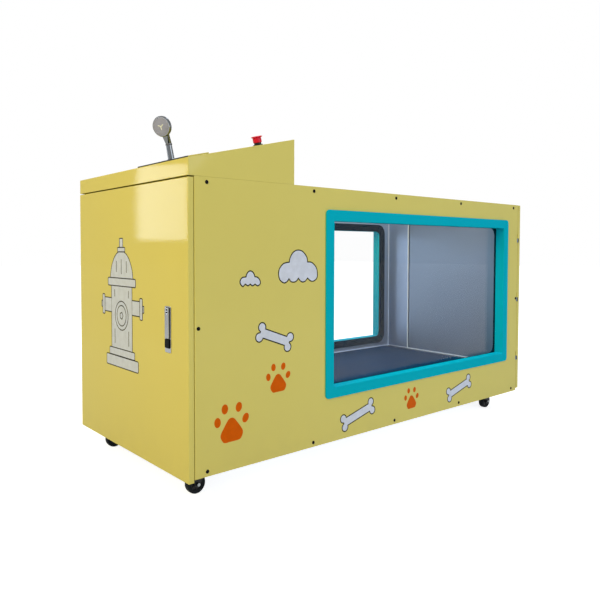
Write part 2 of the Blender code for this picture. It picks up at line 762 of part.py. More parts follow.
def build_bulkhead():
    """The wall between the tank and the service bay, with a cover that runs under the console."""
    bulkhead = box(
        "tank_bulkhead",
        (BULKHEAD_BACK_X, -TANK_OUTER_Y, WALL_BOTTOM),
        (BULKHEAD_X, TANK_OUTER_Y, RIM_TOP - TANK_SHEET / 2),
        "stainless",
    )
    cover = box(
        "bulkhead_cover",
        (CONSOLE_BACK_X - COVER_UNDER_CONSOLE, -BEHIND_PANEL_Y, RIM_TOP - TANK_SHEET),
        (BULKHEAD_X, BEHIND_PANEL_Y, RIM_TOP),
        "stainless",
    )
    fuse(bulkhead, cover)
    holes = (
        ("pump_hole", PUMP_Y, PUMP_Z, NOZZLE_RADIUS),
        ("return_hole", PUMP_Y, RETURN_Z, NOZZLE_RADIUS),
        ("drain_hole", VALVE_Y, VALVE_Z, VALVE_PIPE_RADIUS),
    )
    for name, y, z, radius in holes:
        start = (BULKHEAD_BACK_X - WALL_DEPTH, y, z)
        end = (BULKHEAD_X + WALL_DEPTH, y, z)
        cut(bulkhead, rod(name, start, end, radius + NOZZLE_CLEARANCE, "stainless"))


def build_windows():
    """Teal frames, glass and the black gaskets inside the tank, on both long sides."""
    flange_outline = window_outline(WINDOW_WIDTH, WINDOW_HEIGHT, WINDOW_CORNER)
    jamb_outline = window_outline(
        CLEAR_WIDTH + 2 * JAMB_WALL, CLEAR_HEIGHT + 2 * JAMB_WALL, JAMB_CORNER + JAMB_WALL
    )
    clear_outline = window_outline(CLEAR_WIDTH, CLEAR_HEIGHT, JAMB_CORNER)
    glass_outline = window_outline(GLASS_WIDTH, GLASS_HEIGHT, GLASS_CORNER)
    gasket_outline = window_outline(WINDOW_WIDTH, WINDOW_HEIGHT, GASKET_CORNER)
    gasket_clear = window_outline(CLEAR_WIDTH, CLEAR_HEIGHT, GASKET_INNER_CORNER)
    edge = GASKET_EDGE - SEAT_GAP
    tongue_outline = window_outline(GLASS_WIDTH + 2 * edge, GLASS_HEIGHT + 2 * edge, GLASS_CORNER + edge)
    pocket_outline = window_outline(
        GLASS_WIDTH + 2 * SEAT_GAP, GLASS_HEIGHT + 2 * SEAT_GAP, GLASS_CORNER + SEAT_GAP
    )
    through = WALL_DEPTH * 2
    for suffix, side in (("front", -1), ("rear", 1)):
        face = side * (FACE_Y + FRAME_PROUD)
        frame = extrusion(
            f"window_frame_{suffix}", [flange_outline], "Y", side * (FACE_Y + SEAT_GAP), face, "teal_paint"
        )
        jamb_end = side * (GLASS_OUTER_Y + SEAT_GAP)
        jamb_start = side * (FACE_Y + FRAME_PROUD / 2)
        fuse(frame, extrusion(f"jamb_{suffix}", [jamb_outline], "Y", jamb_end, jamb_start, "teal_paint"))
        clear_start = side * (FACE_Y - through)
        clear_end = side * (FACE_Y + through)
        cut(
            frame,
            extrusion(f"frame_clear_{suffix}", [clear_outline], "Y", clear_start, clear_end, "teal_paint"),
        )
        extrusion(
            f"window_glass_{suffix}",
            [glass_outline],
            "Y",
            side * TANK_INNER_Y,
            side * GLASS_OUTER_Y,
            "clear_glass",
        )
        gasket = extrusion(
            f"window_gasket_{suffix}",
            [gasket_outline],
            "Y",
            side * (TANK_INNER_Y - GASKET_PROUD),
            side * (TANK_INNER_Y - SEAT_GAP),
            "black_rubber",
        )
        tongue_start = side * (TANK_INNER_Y - GASKET_PROUD / 2)
        tongue = extrusion(
            f"tongue_{suffix}", [tongue_outline], "Y", tongue_start, side * TANK_OUTER_Y, "black_rubber"
        )
        fuse(gasket, tongue)
        pocket_end = side * (GLASS_OUTER_Y + GLASS_THICKNESS)
        pocket = extrusion(
            f"pocket_{suffix}",
            [pocket_outline],
            "Y",
            side * (TANK_INNER_Y - SEAT_GAP),
            pocket_end,
            "black_rubber",
        )
        clear = extrusion(
            f"gasket_clear_{suffix}", [gasket_clear], "Y", clear_start, clear_end, "black_rubber"
        )
        cut(gasket, pocket, clear)


def loop_outline(first, first_radius, second, second_radius, steps):
    """The outline of a belt round two pulleys."""
    dx = second[0] - first[0]
    dz = second[1] - first[1]
    heading = math.degrees(math.atan2(dz, dx))
    lean = math.degrees(math.acos((first_radius - second_radius) / math.hypot(dx, dz)))
    points = arc(first, first_radius, heading + lean, heading + 360 - lean, steps)
    points += arc(second, second_radius, heading - lean, heading + lean, steps)
    return points


def build_deck():
    """Rollers, their axle and bearings, the slider bed and the running belt."""
    roller_half = TANK_INNER_Y - ROLLER_END_CLEARANCE - BELT_EDGE_CLEARANCE / 2
    axis_point = (DRIVE_X, 0, ROLLER_Z)
    drive_pivot = pivot("drive_roller_axis", axis_point)
    front_end = PULLEY_OUTER_Y + SHAFT_RADIUS / 8
    rear_end = BEARING_OUTER_Y + SHAFT_RADIUS / 8
    profile = [
        (0, rear_end),
        (SHAFT_RADIUS, rear_end),
        (SHAFT_RADIUS, roller_half),
        (ROLLER_RADIUS, roller_half),
        (ROLLER_RADIUS, -roller_half),
        (SHAFT_RADIUS, -roller_half),
        (SHAFT_RADIUS, -front_end),
        (0, -front_end),
    ]
    drive = turned("drive_roller", profile, axis_point, (0, 1, 0), "dark_steel")
    pulley = turned(
        "drive_pulley",
        ring_profile(
            SHAFT_RADIUS + RUNNING_CLEARANCE, DRIVE_PULLEY_RADIUS, -PULLEY_OUTER_Y, -PULLEY_INNER_Y
        ),
        axis_point,
        (0, 1, 0),
        "dark_steel",
        ring=True,
    )
    carry(drive_pivot, drive, pulley)
    for name, side in (("drive_bearing_front", -1), ("drive_bearing_rear", 1)):
        ends = sorted((side * (TANK_OUTER_Y + SEAT_GAP), side * BEARING_OUTER_Y))
        bearing_ring = ring_profile(SHAFT_RADIUS + RUNNING_CLEARANCE, BEARING_RADIUS, *ends)
        turned(name, bearing_ring, axis_point, (0, 1, 0), "grey_plastic", ring=True)
    tail_point = (TAIL_X, 0, ROLLER_Z)
    tail_pivot = pivot("tail_roller_axis", tail_point)
    tail_ring = ring_profile(AXLE_RADIUS + RUNNING_CLEARANCE, ROLLER_RADIUS, -roller_half, roller_half)
    carry(tail_pivot, turned("tail_roller", tail_ring, tail_point, (0, 1, 0), "dark_steel", ring=True))
    axle_end = TANK_INNER_Y - SEAT_GAP
    rod(
        "tail_axle",
        (TAIL_X, -axle_end, ROLLER_Z),
        (TAIL_X, axle_end, ROLLER_Z),
        AXLE_RADIUS,
        "bright_chrome",
    )
    outer = loop_outline((DRIVE_X, ROLLER_Z), BELT_RADIUS, (TAIL_X, ROLLER_Z), BELT_RADIUS, SMALL_STEPS)
    inner_radius = BELT_RADIUS - BELT_THICKNESS
    inner = loop_outline((DRIVE_X, ROLLER_Z), inner_radius, (TAIL_X, ROLLER_Z), inner_radius, SMALL_STEPS)
    extrusion("running_belt", [outer, inner], "Y", -BELT_HALF_WIDTH, BELT_HALF_WIDTH, "belt_rubber")
    bed_top = BELT_TOP - BELT_THICKNESS - SEAT_GAP
    bed_start = DRIVE_X + ROLLER_RADIUS + BED_ROLLER_CLEARANCE
    bed_end = TAIL_X - ROLLER_RADIUS - BED_ROLLER_CLEARANCE
    box(
        "slider_bed",
        (bed_start, -axle_end, bed_top - BED_THICKNESS),
        (bed_end, axle_end, bed_top),
        "stainless",
    )


def ring_profile(inner, outer, low, high):
    """The section of a ring, top to bottom on its outer side."""
    return [(inner, high), (outer, high), (outer, low), (inner, low)]


def build_drive():
    """The motor in the service bay, its pulley and the timing belt beside the tank wall."""
    middle_y = -MOTOR_FACE_Y + MOTOR_LENGTH / 2
    motor = turned(
        "drive_motor",
        [
            (0, MOTOR_LENGTH / 2),
            (MOTOR_RADIUS * 0.8, MOTOR_LENGTH / 2),
            (MOTOR_RADIUS, MOTOR_LENGTH * 0.4),
            (MOTOR_RADIUS, -MOTOR_LENGTH * 0.45),
            (MOTOR_RADIUS * 0.7, -MOTOR_LENGTH / 2),
            (0, -MOTOR_LENGTH / 2),
        ],
        (MOTOR_X, middle_y, MOTOR_HEIGHT),
        (0, 1, 0),
        "blue_paint",
    )
    foot_low = (MOTOR_X - MOTOR_BASE_WIDTH / 2, middle_y - MOTOR_BASE_LENGTH / 2, WALL_BOTTOM)
    foot_high = (
        MOTOR_X + MOTOR_BASE_WIDTH / 2, middle_y + MOTOR_BASE_LENGTH / 2, MOTOR_HEIGHT - MOTOR_RADIUS / 2
    )
    fuse(motor, box("motor_foot", foot_low, foot_high, "blue_paint"))
    axis_point = (MOTOR_X, 0, MOTOR_HEIGHT)
    motor_pivot = pivot("motor_pulley_axis", axis_point)
    shaft_start = -MOTOR_FACE_Y - SEAT_GAP
    shaft_end = -PULLEY_OUTER_Y - MOTOR_SHAFT_RADIUS / 8
    profile = [
        (0, shaft_start),
        (MOTOR_SHAFT_RADIUS, shaft_start),
        (MOTOR_SHAFT_RADIUS, -PULLEY_INNER_Y),
        (MOTOR_PULLEY_RADIUS, -PULLEY_INNER_Y),
        (MOTOR_PULLEY_RADIUS, -PULLEY_OUTER_Y),
        (MOTOR_SHAFT_RADIUS, -PULLEY_OUTER_Y),
        (MOTOR_SHAFT_RADIUS, shaft_end),
        (0, shaft_end),
    ]
    carry(motor_pivot, turned("motor_pulley", profile, axis_point, (0, 1, 0), "dark_steel"))
    first = (DRIVE_X, ROLLER_Z)
    second = (MOTOR_X, MOTOR_HEIGHT)
    inner_radii = (DRIVE_PULLEY_RADIUS + SEAT_GAP, MOTOR_PULLEY_RADIUS + SEAT_GAP)
    inner = loop_outline(first, inner_radii[0], second, inner_radii[1], SMALL_STEPS)
    outer_radii = [radius + TIMING_BELT_THICKNESS for radius in inner_radii]
    outer = loop_outline(first, outer_radii[0], second, outer_radii[1], SMALL_STEPS)
    middle = -(PULLEY_INNER_Y + PULLEY_OUTER_Y) / 2
    half = TIMING_BELT_WIDTH / 2
    extrusion("timing_belt", [outer, inner], "Y", middle - half, middle + half, "black_rubber")


def build_portal():
    """The frame that the service door closes on, with the fixed hinge halves."""
    outer = rectangle((-BEHIND_PANEL_Y, WALL_BOTTOM), (BEHIND_PANEL_Y, RIM_TOP))
    inner_y = BEHIND_PANEL_Y - PORTAL_POST
    inner = rectangle((-inner_y, WALL_BOTTOM + PORTAL_SILL), (inner_y, RIM_TOP - PORTAL_POST))
    ends = (-BEHIND_RETURN_X, -BEHIND_RETURN_X + PORTAL_DEPTH)
    portal = extrusion("service_door_frame", [outer, inner], "X", *ends, "stainless")
    sheet = PORTAL_SHEET
    hollow_outer = rectangle(
        (outer[0][0] + sheet, outer[0][1] + sheet), (outer[2][0] - sheet, outer[2][1] - sheet)
    )
    hollow_inner = rectangle(
        (inner[0][0] - sheet, inner[0][1] - sheet), (inner[2][0] + sheet, inner[2][1] + sheet)
    )
    channel = (ends[0] + sheet, ends[1] + sheet)
    cut(portal, extrusion("portal_channel", [hollow_outer, hollow_inner], "X", *channel, "stainless"))
    heights = hinge_heights(SERVICE_DOOR_BOTTOM, SERVICE_DOOR_TOP)
    fixed_knuckles(portal, -1, 1, heights, "service_hinge")


def drain_holes(door, x, bottom, name):
    """Two weep holes through the door's lower edge."""
    for i, side in enumerate((-1, 1)):
        y = side * BODY_WIDTH / 4
        start = (x, y, bottom - DOOR_SKIN * 2)
        end = (x, y, bottom + DOOR_SKIN * 3)
        cut(door, rod(f"{name}_weep_{i}", start, end, DRAIN_HOLE_RADIUS, "stainless", SMALL_STEPS))


def double_skin(name, side, bottom, top):
    """A hollow door of two sheet skins, rounded at its edges."""
    xs = sorted((side * DOOR_INNER_X, side * DOOR_OUTER_X))
    door = box(name, (xs[0], -FACE_Y, bottom), (xs[1], FACE_Y, top), "yellow_paint", DOOR_EDGE_ROUND)
    inner_face = FACE_Y - KNUCKLE_NOTCH - DOOR_SKIN
    hollow_low = (xs[0] + DOOR_SKIN, -inner_face, bottom + DOOR_SKIN)
    hollow_high = (xs[1] - DOOR_SKIN, inner_face, top - DOOR_SKIN)
    cut(door, box(f"{name}_hollow", hollow_low, hollow_high, "yellow_paint"))
    drain_holes(door, (xs[0] + xs[1]) / 2, bottom, name)
    return door


def build_service_door():
    """The left end door, hinged at the rear, with its swing-handle latch."""
    door = double_skin("service_door", -1, SERVICE_DOOR_BOTTOM, SERVICE_DOOR_TOP)
    heights = hinge_heights(SERVICE_DOOR_BOTTOM, SERVICE_DOOR_TOP)
    moving_knuckles(door, -1, 1, heights, "service_door")
    rim_x = -DOOR_OUTER_X - LATCH_RIM
    back_x = -DOOR_INNER_X + LATCH_BODY_BEHIND
    half_width = LATCH_WIDTH / 2
    half_height = LATCH_HEIGHT / 2
    body_low = (rim_x, LATCH_Y - half_width, LATCH_Z - half_height)
    body_high = (back_x, LATCH_Y + half_width, LATCH_Z + half_height)
    fuse(door, box("latch_body", body_low, body_high, "bright_chrome"))
    dish_bottom = -DOOR_OUTER_X + LATCH_DISH_DEPTH - LATCH_RIM
    dish_half = half_width - LATCH_WALL
    dish_low = (rim_x - LATCH_RIM, LATCH_Y - dish_half, LATCH_Z - half_height + LATCH_FOOT)
    dish_high = (dish_bottom, LATCH_Y + dish_half, LATCH_Z + half_height - LATCH_WALL)
    cut(door, box("latch_dish", dish_low, dish_high, "bright_chrome"))
    lever_top = LATCH_Z + half_height - LATCH_WALL - LEVER_TOP_MARGIN
    pivot_z = lever_top - LEVER_PIVOT_INSET
    spindle_bore = SPINDLE_RADIUS + RUNNING_CLEARANCE
    bore_ends = ((rim_x, LATCH_Y, pivot_z), (back_x + LATCH_WALL, LATCH_Y, pivot_z))
    cut(door, rod("spindle_bore", *bore_ends, spindle_bore, "bright_chrome", SMALL_STEPS))
    door_pivot = pivot("service_door_axis", (-HINGE_X, FACE_Y, (heights[0] + heights[-1]) / 2))
    carry(door_pivot, door)
    build_latch_parts(door_pivot, dish_bottom, dish_half, pivot_z, lever_top, back_x)


def build_latch_parts(door_pivot, dish_bottom, dish_half, pivot_z, lever_top, back_x):
    """The cam with its spindle, the lever hinged on it and the push button below."""
    lever_outer = -DOOR_OUTER_X - LATCH_PROUD
    lever_inner = lever_outer + LEVER_THICKNESS
    barrel_x = lever_outer + HINGE_BARREL_RADIUS + SEAT_GAP
    neck_half_y = LEVER_SLOT_HALF - 2 * BUTTON_SIDE_CLEARANCE
    neck_half_z = LEVER_SLOT_HALF / 2
    spindle_end = back_x + CAM_GAP + CAM_THICKNESS
    cam = rod(
        "latch_cam",
        (dish_bottom - SEAT_GAP, LATCH_Y, pivot_z),
        (spindle_end, LATCH_Y, pivot_z),
        SPINDLE_RADIUS,
        "bright_chrome",
        SMALL_STEPS,
    )
    neck_low = (barrel_x, LATCH_Y - neck_half_y, pivot_z - neck_half_z)
    neck_high = (dish_bottom - SEAT_GAP * 2, LATCH_Y + neck_half_y, pivot_z + neck_half_z)
    overlap_high = (neck_high[0] + SPINDLE_RADIUS / 2, neck_high[1] - neck_half_y / 2, neck_high[2])
    overlap_low = (neck_low[0], neck_low[1] + neck_half_y / 2, neck_low[2])
    barrel_ends = [(barrel_x, LATCH_Y + side * neck_half_y, pivot_z) for side in (-1, 1)]
    barrel = rod("cam_barrel", *barrel_ends, HINGE_BARREL_RADIUS, "bright_chrome", SMALL_STEPS)
    arm_low = (back_x + CAM_GAP, LATCH_Y - CAM_REACH, pivot_z - CAM_WIDTH / 2)
    arm_high = (spindle_end, LATCH_Y + CAM_WIDTH / 2, pivot_z + CAM_WIDTH / 2)
    fuse(
        cam,
        box("cam_neck", neck_low, neck_high, "bright_chrome"),
        box("cam_neck_root", overlap_low, overlap_high, "bright_chrome"),
        barrel,
        box("cam_arm", arm_low, arm_high, "bright_chrome"),
    )
    cam_pivot = pivot("latch_turn_axis", (barrel_x, LATCH_Y, pivot_z), door_pivot)
    carry(cam_pivot, cam)
    lever_low = (lever_outer, LATCH_Y - LEVER_WIDTH / 2, lever_top - LEVER_LENGTH)
    lever_high = (lever_inner, LATCH_Y + LEVER_WIDTH / 2, lever_top)
    lever = box("latch_lever", lever_low, lever_high, "bright_chrome", LEVER_THICKNESS / 4)
    slot_low = (lever_outer - LATCH_RIM, LATCH_Y - neck_half_y - SEAT_GAP, pivot_z - LEVER_SLOT_HALF)
    slot_high = (lever_inner + LATCH_RIM, LATCH_Y + neck_half_y + SEAT_GAP, pivot_z + LEVER_SLOT_HALF)
    cut(lever, box("lever_slot", slot_low, slot_high, "bright_chrome"))
    lever_pivot = pivot("latch_lift_axis", (barrel_x, LATCH_Y, pivot_z), cam_pivot)
    carry(lever_pivot, lever)
    button_top = lever_top - LEVER_LENGTH - BUTTON_LEVER_GAP
    button_half = dish_half - BUTTON_SIDE_CLEARANCE
    button_low = (lever_outer + LATCH_RIM, LATCH_Y - button_half, button_top - BUTTON_HEIGHT)
    button_high = (
        dish_bottom - BUTTON_TRAVEL - 2 * BUTTON_SIDE_CLEARANCE, LATCH_Y + button_half, button_top
    )
    button = box("latch_button", button_low, button_high, "black_plastic", LATCH_RIM)
    button_pivot = pivot(
        "latch_button_axis", (button_low[0], LATCH_Y, button_top - BUTTON_HEIGHT / 2), door_pivot
    )
    carry(button_pivot, button)


def build_end_wall():
    """The hollow stainless end wall round the doorway, with the fixed hinge halves."""
    low = (-BEHIND_PANEL_Y, FLOOR_BOTTOM)
    high = (BEHIND_PANEL_Y, RIM_TOP)
    outer_x = BEHIND_RETURN_X
    sheet = TANK_SHEET
    wall = box("entry_door_frame", (END_FACE_X, *low), (outer_x, *high), "stainless")
    doorway = rectangle(DOORWAY_LOW, DOORWAY_HIGH)
    cut(wall, extrusion("doorway", [doorway], "X", END_FACE_X - sheet, outer_x + sheet, "stainless"))

    def grown(margin):
        low_corner = (DOORWAY_LOW[0] - margin, DOORWAY_LOW[1] - margin)
        high_corner = (DOORWAY_HIGH[0] + margin, DOORWAY_HIGH[1] + margin)
        return rectangle(low_corner, high_corner)

    def shrunk(margin):
        low_corner = (low[0] + margin, low[1] + margin)
        high_corner = (high[0] - margin, high[1] - margin)
        return rectangle(low_corner, high_corner)

    cavity = extrusion(
        "wall_cavity", [shrunk(sheet), grown(sheet)], "X", END_FACE_X + sheet, outer_x - sheet, "stainless"
    )
    slot = extrusion(
        "wall_slot",
        [shrunk(END_WALL_LIP), grown(DOORWAY_FLANGE)],
        "X",
        outer_x - 2 * sheet,
        outer_x + sheet,
        "stainless",
    )
    cut(wall, cavity, slot)
    heights = hinge_heights(ENTRY_DOOR_BOTTOM, PANEL_TOP)
    fixed_knuckles(wall, 1, -1, heights, "entry_hinge")


def build_entry_door():
    """The entry door: painted outer door, stainless plug, seal and two latches."""
    heights = hinge_heights(ENTRY_DOOR_BOTTOM, PANEL_TOP)
    door_pivot = pivot("entry_door_axis", (HINGE_X, -FACE_Y, (heights[0] + heights[-1]) / 2))
    panel = double_skin("entry_door_panel", 1, ENTRY_DOOR_BOTTOM, PANEL_TOP)
    moving_knuckles(panel, 1, -1, heights, "entry_door")
    latch_y = FACE_Y - ENTRY_LATCH_FROM_EDGE
    plug_low = (END_FACE_X + PLUG_RECESS, DOORWAY_LOW[0] + PLUG_CLEARANCE, DOORWAY_LOW[1] + PLUG_CLEARANCE)
    plug_high = (
        DOOR_INNER_X - SEAT_GAP, DOORWAY_HIGH[0] - PLUG_SWING_CLEARANCE, DOORWAY_HIGH[1] - PLUG_CLEARANCE
    )
    plug = box("entry_door_liner", plug_low, plug_high, "stainless")
    tray_low = [value + TANK_SHEET for value in plug_low]
    tray_high = (plug_high[0] + TANK_SHEET, plug_high[1] - TANK_SHEET, plug_high[2] - TANK_SHEET)
    cut(plug, box("plug_tray", tray_low, tray_high, "stainless"))
    inner_margin = SEAL_EDGE_CLEARANCE
    outer_margin = SEAL_EDGE_CLEARANCE + SEAL_WIDTH
    outlines = []
    for margin in (outer_margin, inner_margin):
        low_corner = (DOORWAY_LOW[0] - margin, DOORWAY_LOW[1] - margin)
        high_corner = (DOORWAY_HIGH[0] + margin, DOORWAY_HIGH[1] + margin)
        outlines.append(rectangle(low_corner, high_corner))
    seal = extrusion(
        "entry_door_seal",
        outlines,
        "X",
        BEHIND_RETURN_X + SEAT_GAP,
        DOOR_INNER_X - SEAT_GAP,
        "black_rubber",
    )
    carry(door_pivot, panel, plug, seal)
    for name, rise in zip(("entry_latch_lower", "entry_latch_upper"), ENTRY_LATCH_HEIGHTS):
        height = PANEL_BOTTOM + rise
        bore_start = (DOOR_INNER_X - DOOR_SKIN, latch_y, height)
        bore_end = (DOOR_OUTER_X + DOOR_SKIN, latch_y, height)
        bore_radius = SPINDLE_RADIUS + RUNNING_CLEARANCE
        cut(panel, rod(f"{name}_bore", bore_start, bore_end, bore_radius, "stainless", SMALL_STEPS))
        build_entry_latch(name, latch_y, height, door_pivot)


def build_entry_latch(name, y, z, door_pivot):
    """A lever outside the door, its spindle and the cam behind the end wall's lip."""
    inner_x = DOOR_OUTER_X + SEAT_GAP
    outer_x = DOOR_OUTER_X + LATCH_PROUD
    half = ENTRY_LEVER_WIDTH / 2
    lever = box(
        name,
        (inner_x, y - half, z - ENTRY_LEVER_LENGTH),
        (outer_x, y + half, z + half),
        "bright_chrome",
        LATCH_RIM,
    )
    cam_x = HALF_LENGTH + DOOR_GAP / 2 - ENTRY_CAM_DEPTH / 3
    spindle = rod(
        f"{name}_spindle",
        (cam_x - CAM_THICKNESS, y, z),
        (outer_x - LATCH_RIM, y, z),
        SPINDLE_RADIUS,
        "bright_chrome",
        SMALL_STEPS,
    )
    arm_half = CAM_WIDTH / 2
    arm = box(
        f"{name}_arm",
        (cam_x - CAM_THICKNESS, y - arm_half, z - arm_half),
        (cam_x, y + ENTRY_CAM_REACH, z + arm_half),
        "bright_chrome",
    )
    fuse(lever, spindle, arm)
    latch_pivot = pivot(f"{name}_axis", (outer_x, y, z), door_pivot)
    carry(latch_pivot, lever)


def build_console():
    """The painted wedge on top of the service bay, open underneath."""
    top = CONSOLE_BASE + CONSOLE_BACK_HEIGHT
    profile = [
        (CONSOLE_FRONT_X, CONSOLE_BASE),
        (CONSOLE_BACK_X, CONSOLE_BASE),
        (CONSOLE_BACK_X, top),
        (CONSOLE_FRONT_X, CONSOLE_BASE + CONSOLE_FRONT_HEIGHT),
    ]
    shell = extrusion("console_shell", [profile], "Y", -FACE_Y, FACE_Y, "yellow_paint")
    bevel = shell.modifiers.new("edge_round", "BEVEL")
    bevel.width = CONSOLE_EDGE_ROUND
    bevel.segments = 2
    bevel.limit_method = "ANGLE"
    sheet = CONSOLE_SHEET
    top_drop = sheet / math.cos(CONSOLE_SLOPE)
    inner_front = CONSOLE_FRONT_X + sheet
    inner_back = CONSOLE_BACK_X - sheet
    below = CONSOLE_BASE - sheet
    hollow = [
        (inner_front, below),
        (inner_back, below),
        (inner_back, slope_height(inner_back) - top_drop),
        (inner_front, slope_height(inner_front) - top_drop),
    ]
    cut(shell, extrusion("console_hollow", [hollow], "Y", -FACE_Y + sheet, FACE_Y - sheet, "yellow_paint"))
    estop_base = build_estop()
    hole_start = estop_base - SLOPE_NORMAL * WALL_DEPTH
    hole_end = estop_base + SLOPE_NORMAL * WALL_DEPTH
    cut(
        shell,
        rod(
            "estop_hole",
            hole_start,
            hole_end,
            ESTOP_SHANK_RADIUS + SHOWER_SLIDE_CLEARANCE,
            "yellow_paint",
            SMALL_STEPS,
        ),
    )
    shower_base = build_shower()
    sleeve_radius = SHOWER_SHANK_RADIUS + SHOWER_SLIDE_CLEARANCE + SHOWER_SLEEVE_WALL
    hole_start = shower_base - SHOWER_AXIS * WALL_DEPTH
    hole_end = shower_base + SHOWER_AXIS * WALL_DEPTH
    cut(
        shell,
        rod(
            "shower_hole",
            hole_start,
            hole_end,
            sleeve_radius + SHOWER_SLIDE_CLEARANCE,
            "yellow_paint",
            SMALL_STEPS,
        ),
    )
    build_control_panel()


def build_control_panel():
    """The thin dark key panel at the low edge of the slope."""
    size = (PANEL_PLATE_DEPTH, PANEL_PLATE_LENGTH, PANEL_PLATE_THICKNESS)
    along = Vector((math.cos(CONSOLE_SLOPE), 0, math.sin(CONSOLE_SLOPE)))
    edge = Vector(
        (
            CONSOLE_FRONT_X,
            -FACE_Y + PANEL_PLATE_MARGIN + PANEL_PLATE_LENGTH / 2,
            slope_height(CONSOLE_FRONT_X),
        ),
    )
    middle = edge + along * (PANEL_PLATE_MARGIN + PANEL_PLATE_DEPTH / 2)
    middle += SLOPE_NORMAL * (SEAT_GAP + PANEL_PLATE_THICKNESS / 2)
    half = Vector(size) / 2
    plate = box("control_panel", -half, half, "black_plastic", PANEL_PLATE_THICKNESS / 4)
    plate.matrix_world = Matrix.Translation(middle) @ Matrix.Rotation(-CONSOLE_SLOPE, 4, "Y")


def build_estop():
    """The emergency stop: a black collar through the console and its red mushroom head."""
    x = CONSOLE_FRONT_X + ESTOP_FROM_FRONT
    base = Vector((x, -FACE_Y + ESTOP_FROM_EDGE, slope_height(x)))
    bore = ESTOP_PLUNGER_RADIUS + SHOWER_SLIDE_CLEARANCE
    edge = ESTOP_EDGE_ROUND
    collar_profile = [
        (bore, ESTOP_COLLAR_HEIGHT),
        (ESTOP_COLLAR_RADIUS - edge, ESTOP_COLLAR_HEIGHT),
        (ESTOP_COLLAR_RADIUS, ESTOP_COLLAR_HEIGHT - edge),
        (ESTOP_COLLAR_RADIUS, ESTOP_BEZEL_HEIGHT),
        (ESTOP_BEZEL_RADIUS - edge, ESTOP_BEZEL_HEIGHT),
        (ESTOP_BEZEL_RADIUS, ESTOP_BEZEL_HEIGHT - edge),
        (ESTOP_BEZEL_RADIUS, SEAT_GAP),
        (ESTOP_SHANK_RADIUS, SEAT_GAP),
        (ESTOP_SHANK_RADIUS, -ESTOP_SHANK_LENGTH),
        (bore, -ESTOP_SHANK_LENGTH),
    ]
    turned("estop_collar", collar_profile, base, SLOPE_NORMAL, "black_plastic", ring=True)
    cup_radius = ESTOP_COLLAR_RADIUS + ESTOP_CUP_CLEARANCE
    cup_top = ESTOP_COLLAR_HEIGHT + ESTOP_TRAVEL + ESTOP_CUP_CLEARANCE
    head_profile = [
        (0, ESTOP_HEIGHT),
        (ESTOP_HEAD_RADIUS, ESTOP_HEIGHT - edge / 2),
        (ESTOP_RIM_RADIUS - edge, ESTOP_RIM_TOP),
        (ESTOP_RIM_RADIUS, ESTOP_RIM_TOP - edge),
        (ESTOP_RIM_RADIUS, ESTOP_RIM_BOTTOM),
        (ESTOP_HEAD_RADIUS + edge, ESTOP_RIM_BOTTOM - edge),
        (ESTOP_HEAD_RADIUS, ESTOP_RIM_BOTTOM - 2 * edge),
        (ESTOP_HEAD_RADIUS, ESTOP_HEAD_BOTTOM + edge),
        (ESTOP_HEAD_RADIUS - edge, ESTOP_HEAD_BOTTOM),
        (cup_radius, ESTOP_HEAD_BOTTOM),
        (cup_radius, cup_top),
        (ESTOP_PLUNGER_RADIUS, cup_top),
        (ESTOP_PLUNGER_RADIUS, -ESTOP_TRAVEL),
        (0, -ESTOP_TRAVEL),
    ]
    head = turned("estop_head", head_profile, base, SLOPE_NORMAL, "red_plastic")
    carry(pivot("estop_axis", base), head)
    return base


def shower_neck(foot, centre):
    """The flared neck of the hand shower: a hull from the round handle to a flat oval in the disc."""
    side = SHOWER_AXIS.cross(SHOWER_FACE).normalized()
    deep = side.cross(SHOWER_AXIS).normalized()
    top = centre - SHOWER_FACE * SHOWER_NECK_BEHIND
    shape = bmesh.new()
    for step in range(SMALL_STEPS):
        angle = 2 * math.pi * step / SMALL_STEPS
        across = math.cos(angle)
        through = math.sin(angle)
        shape.verts.new(foot + (side * across + deep * through) * SHOWER_NECK_RADIUS)
        oval = side * (across * SHOWER_NECK_FLARE) + SHOWER_FACE * (through * SHOWER_NECK_DEPTH)
        shape.verts.new(top + oval)
    bmesh.ops.convex_hull(shape, input=shape.verts[:])
    mesh = bpy.data.meshes.new("shower_neck")
    shape.to_mesh(mesh)
    shape.free()
    shade(mesh)
    return add_mesh("shower_neck", mesh, "bright_chrome", Matrix.Identity(4))


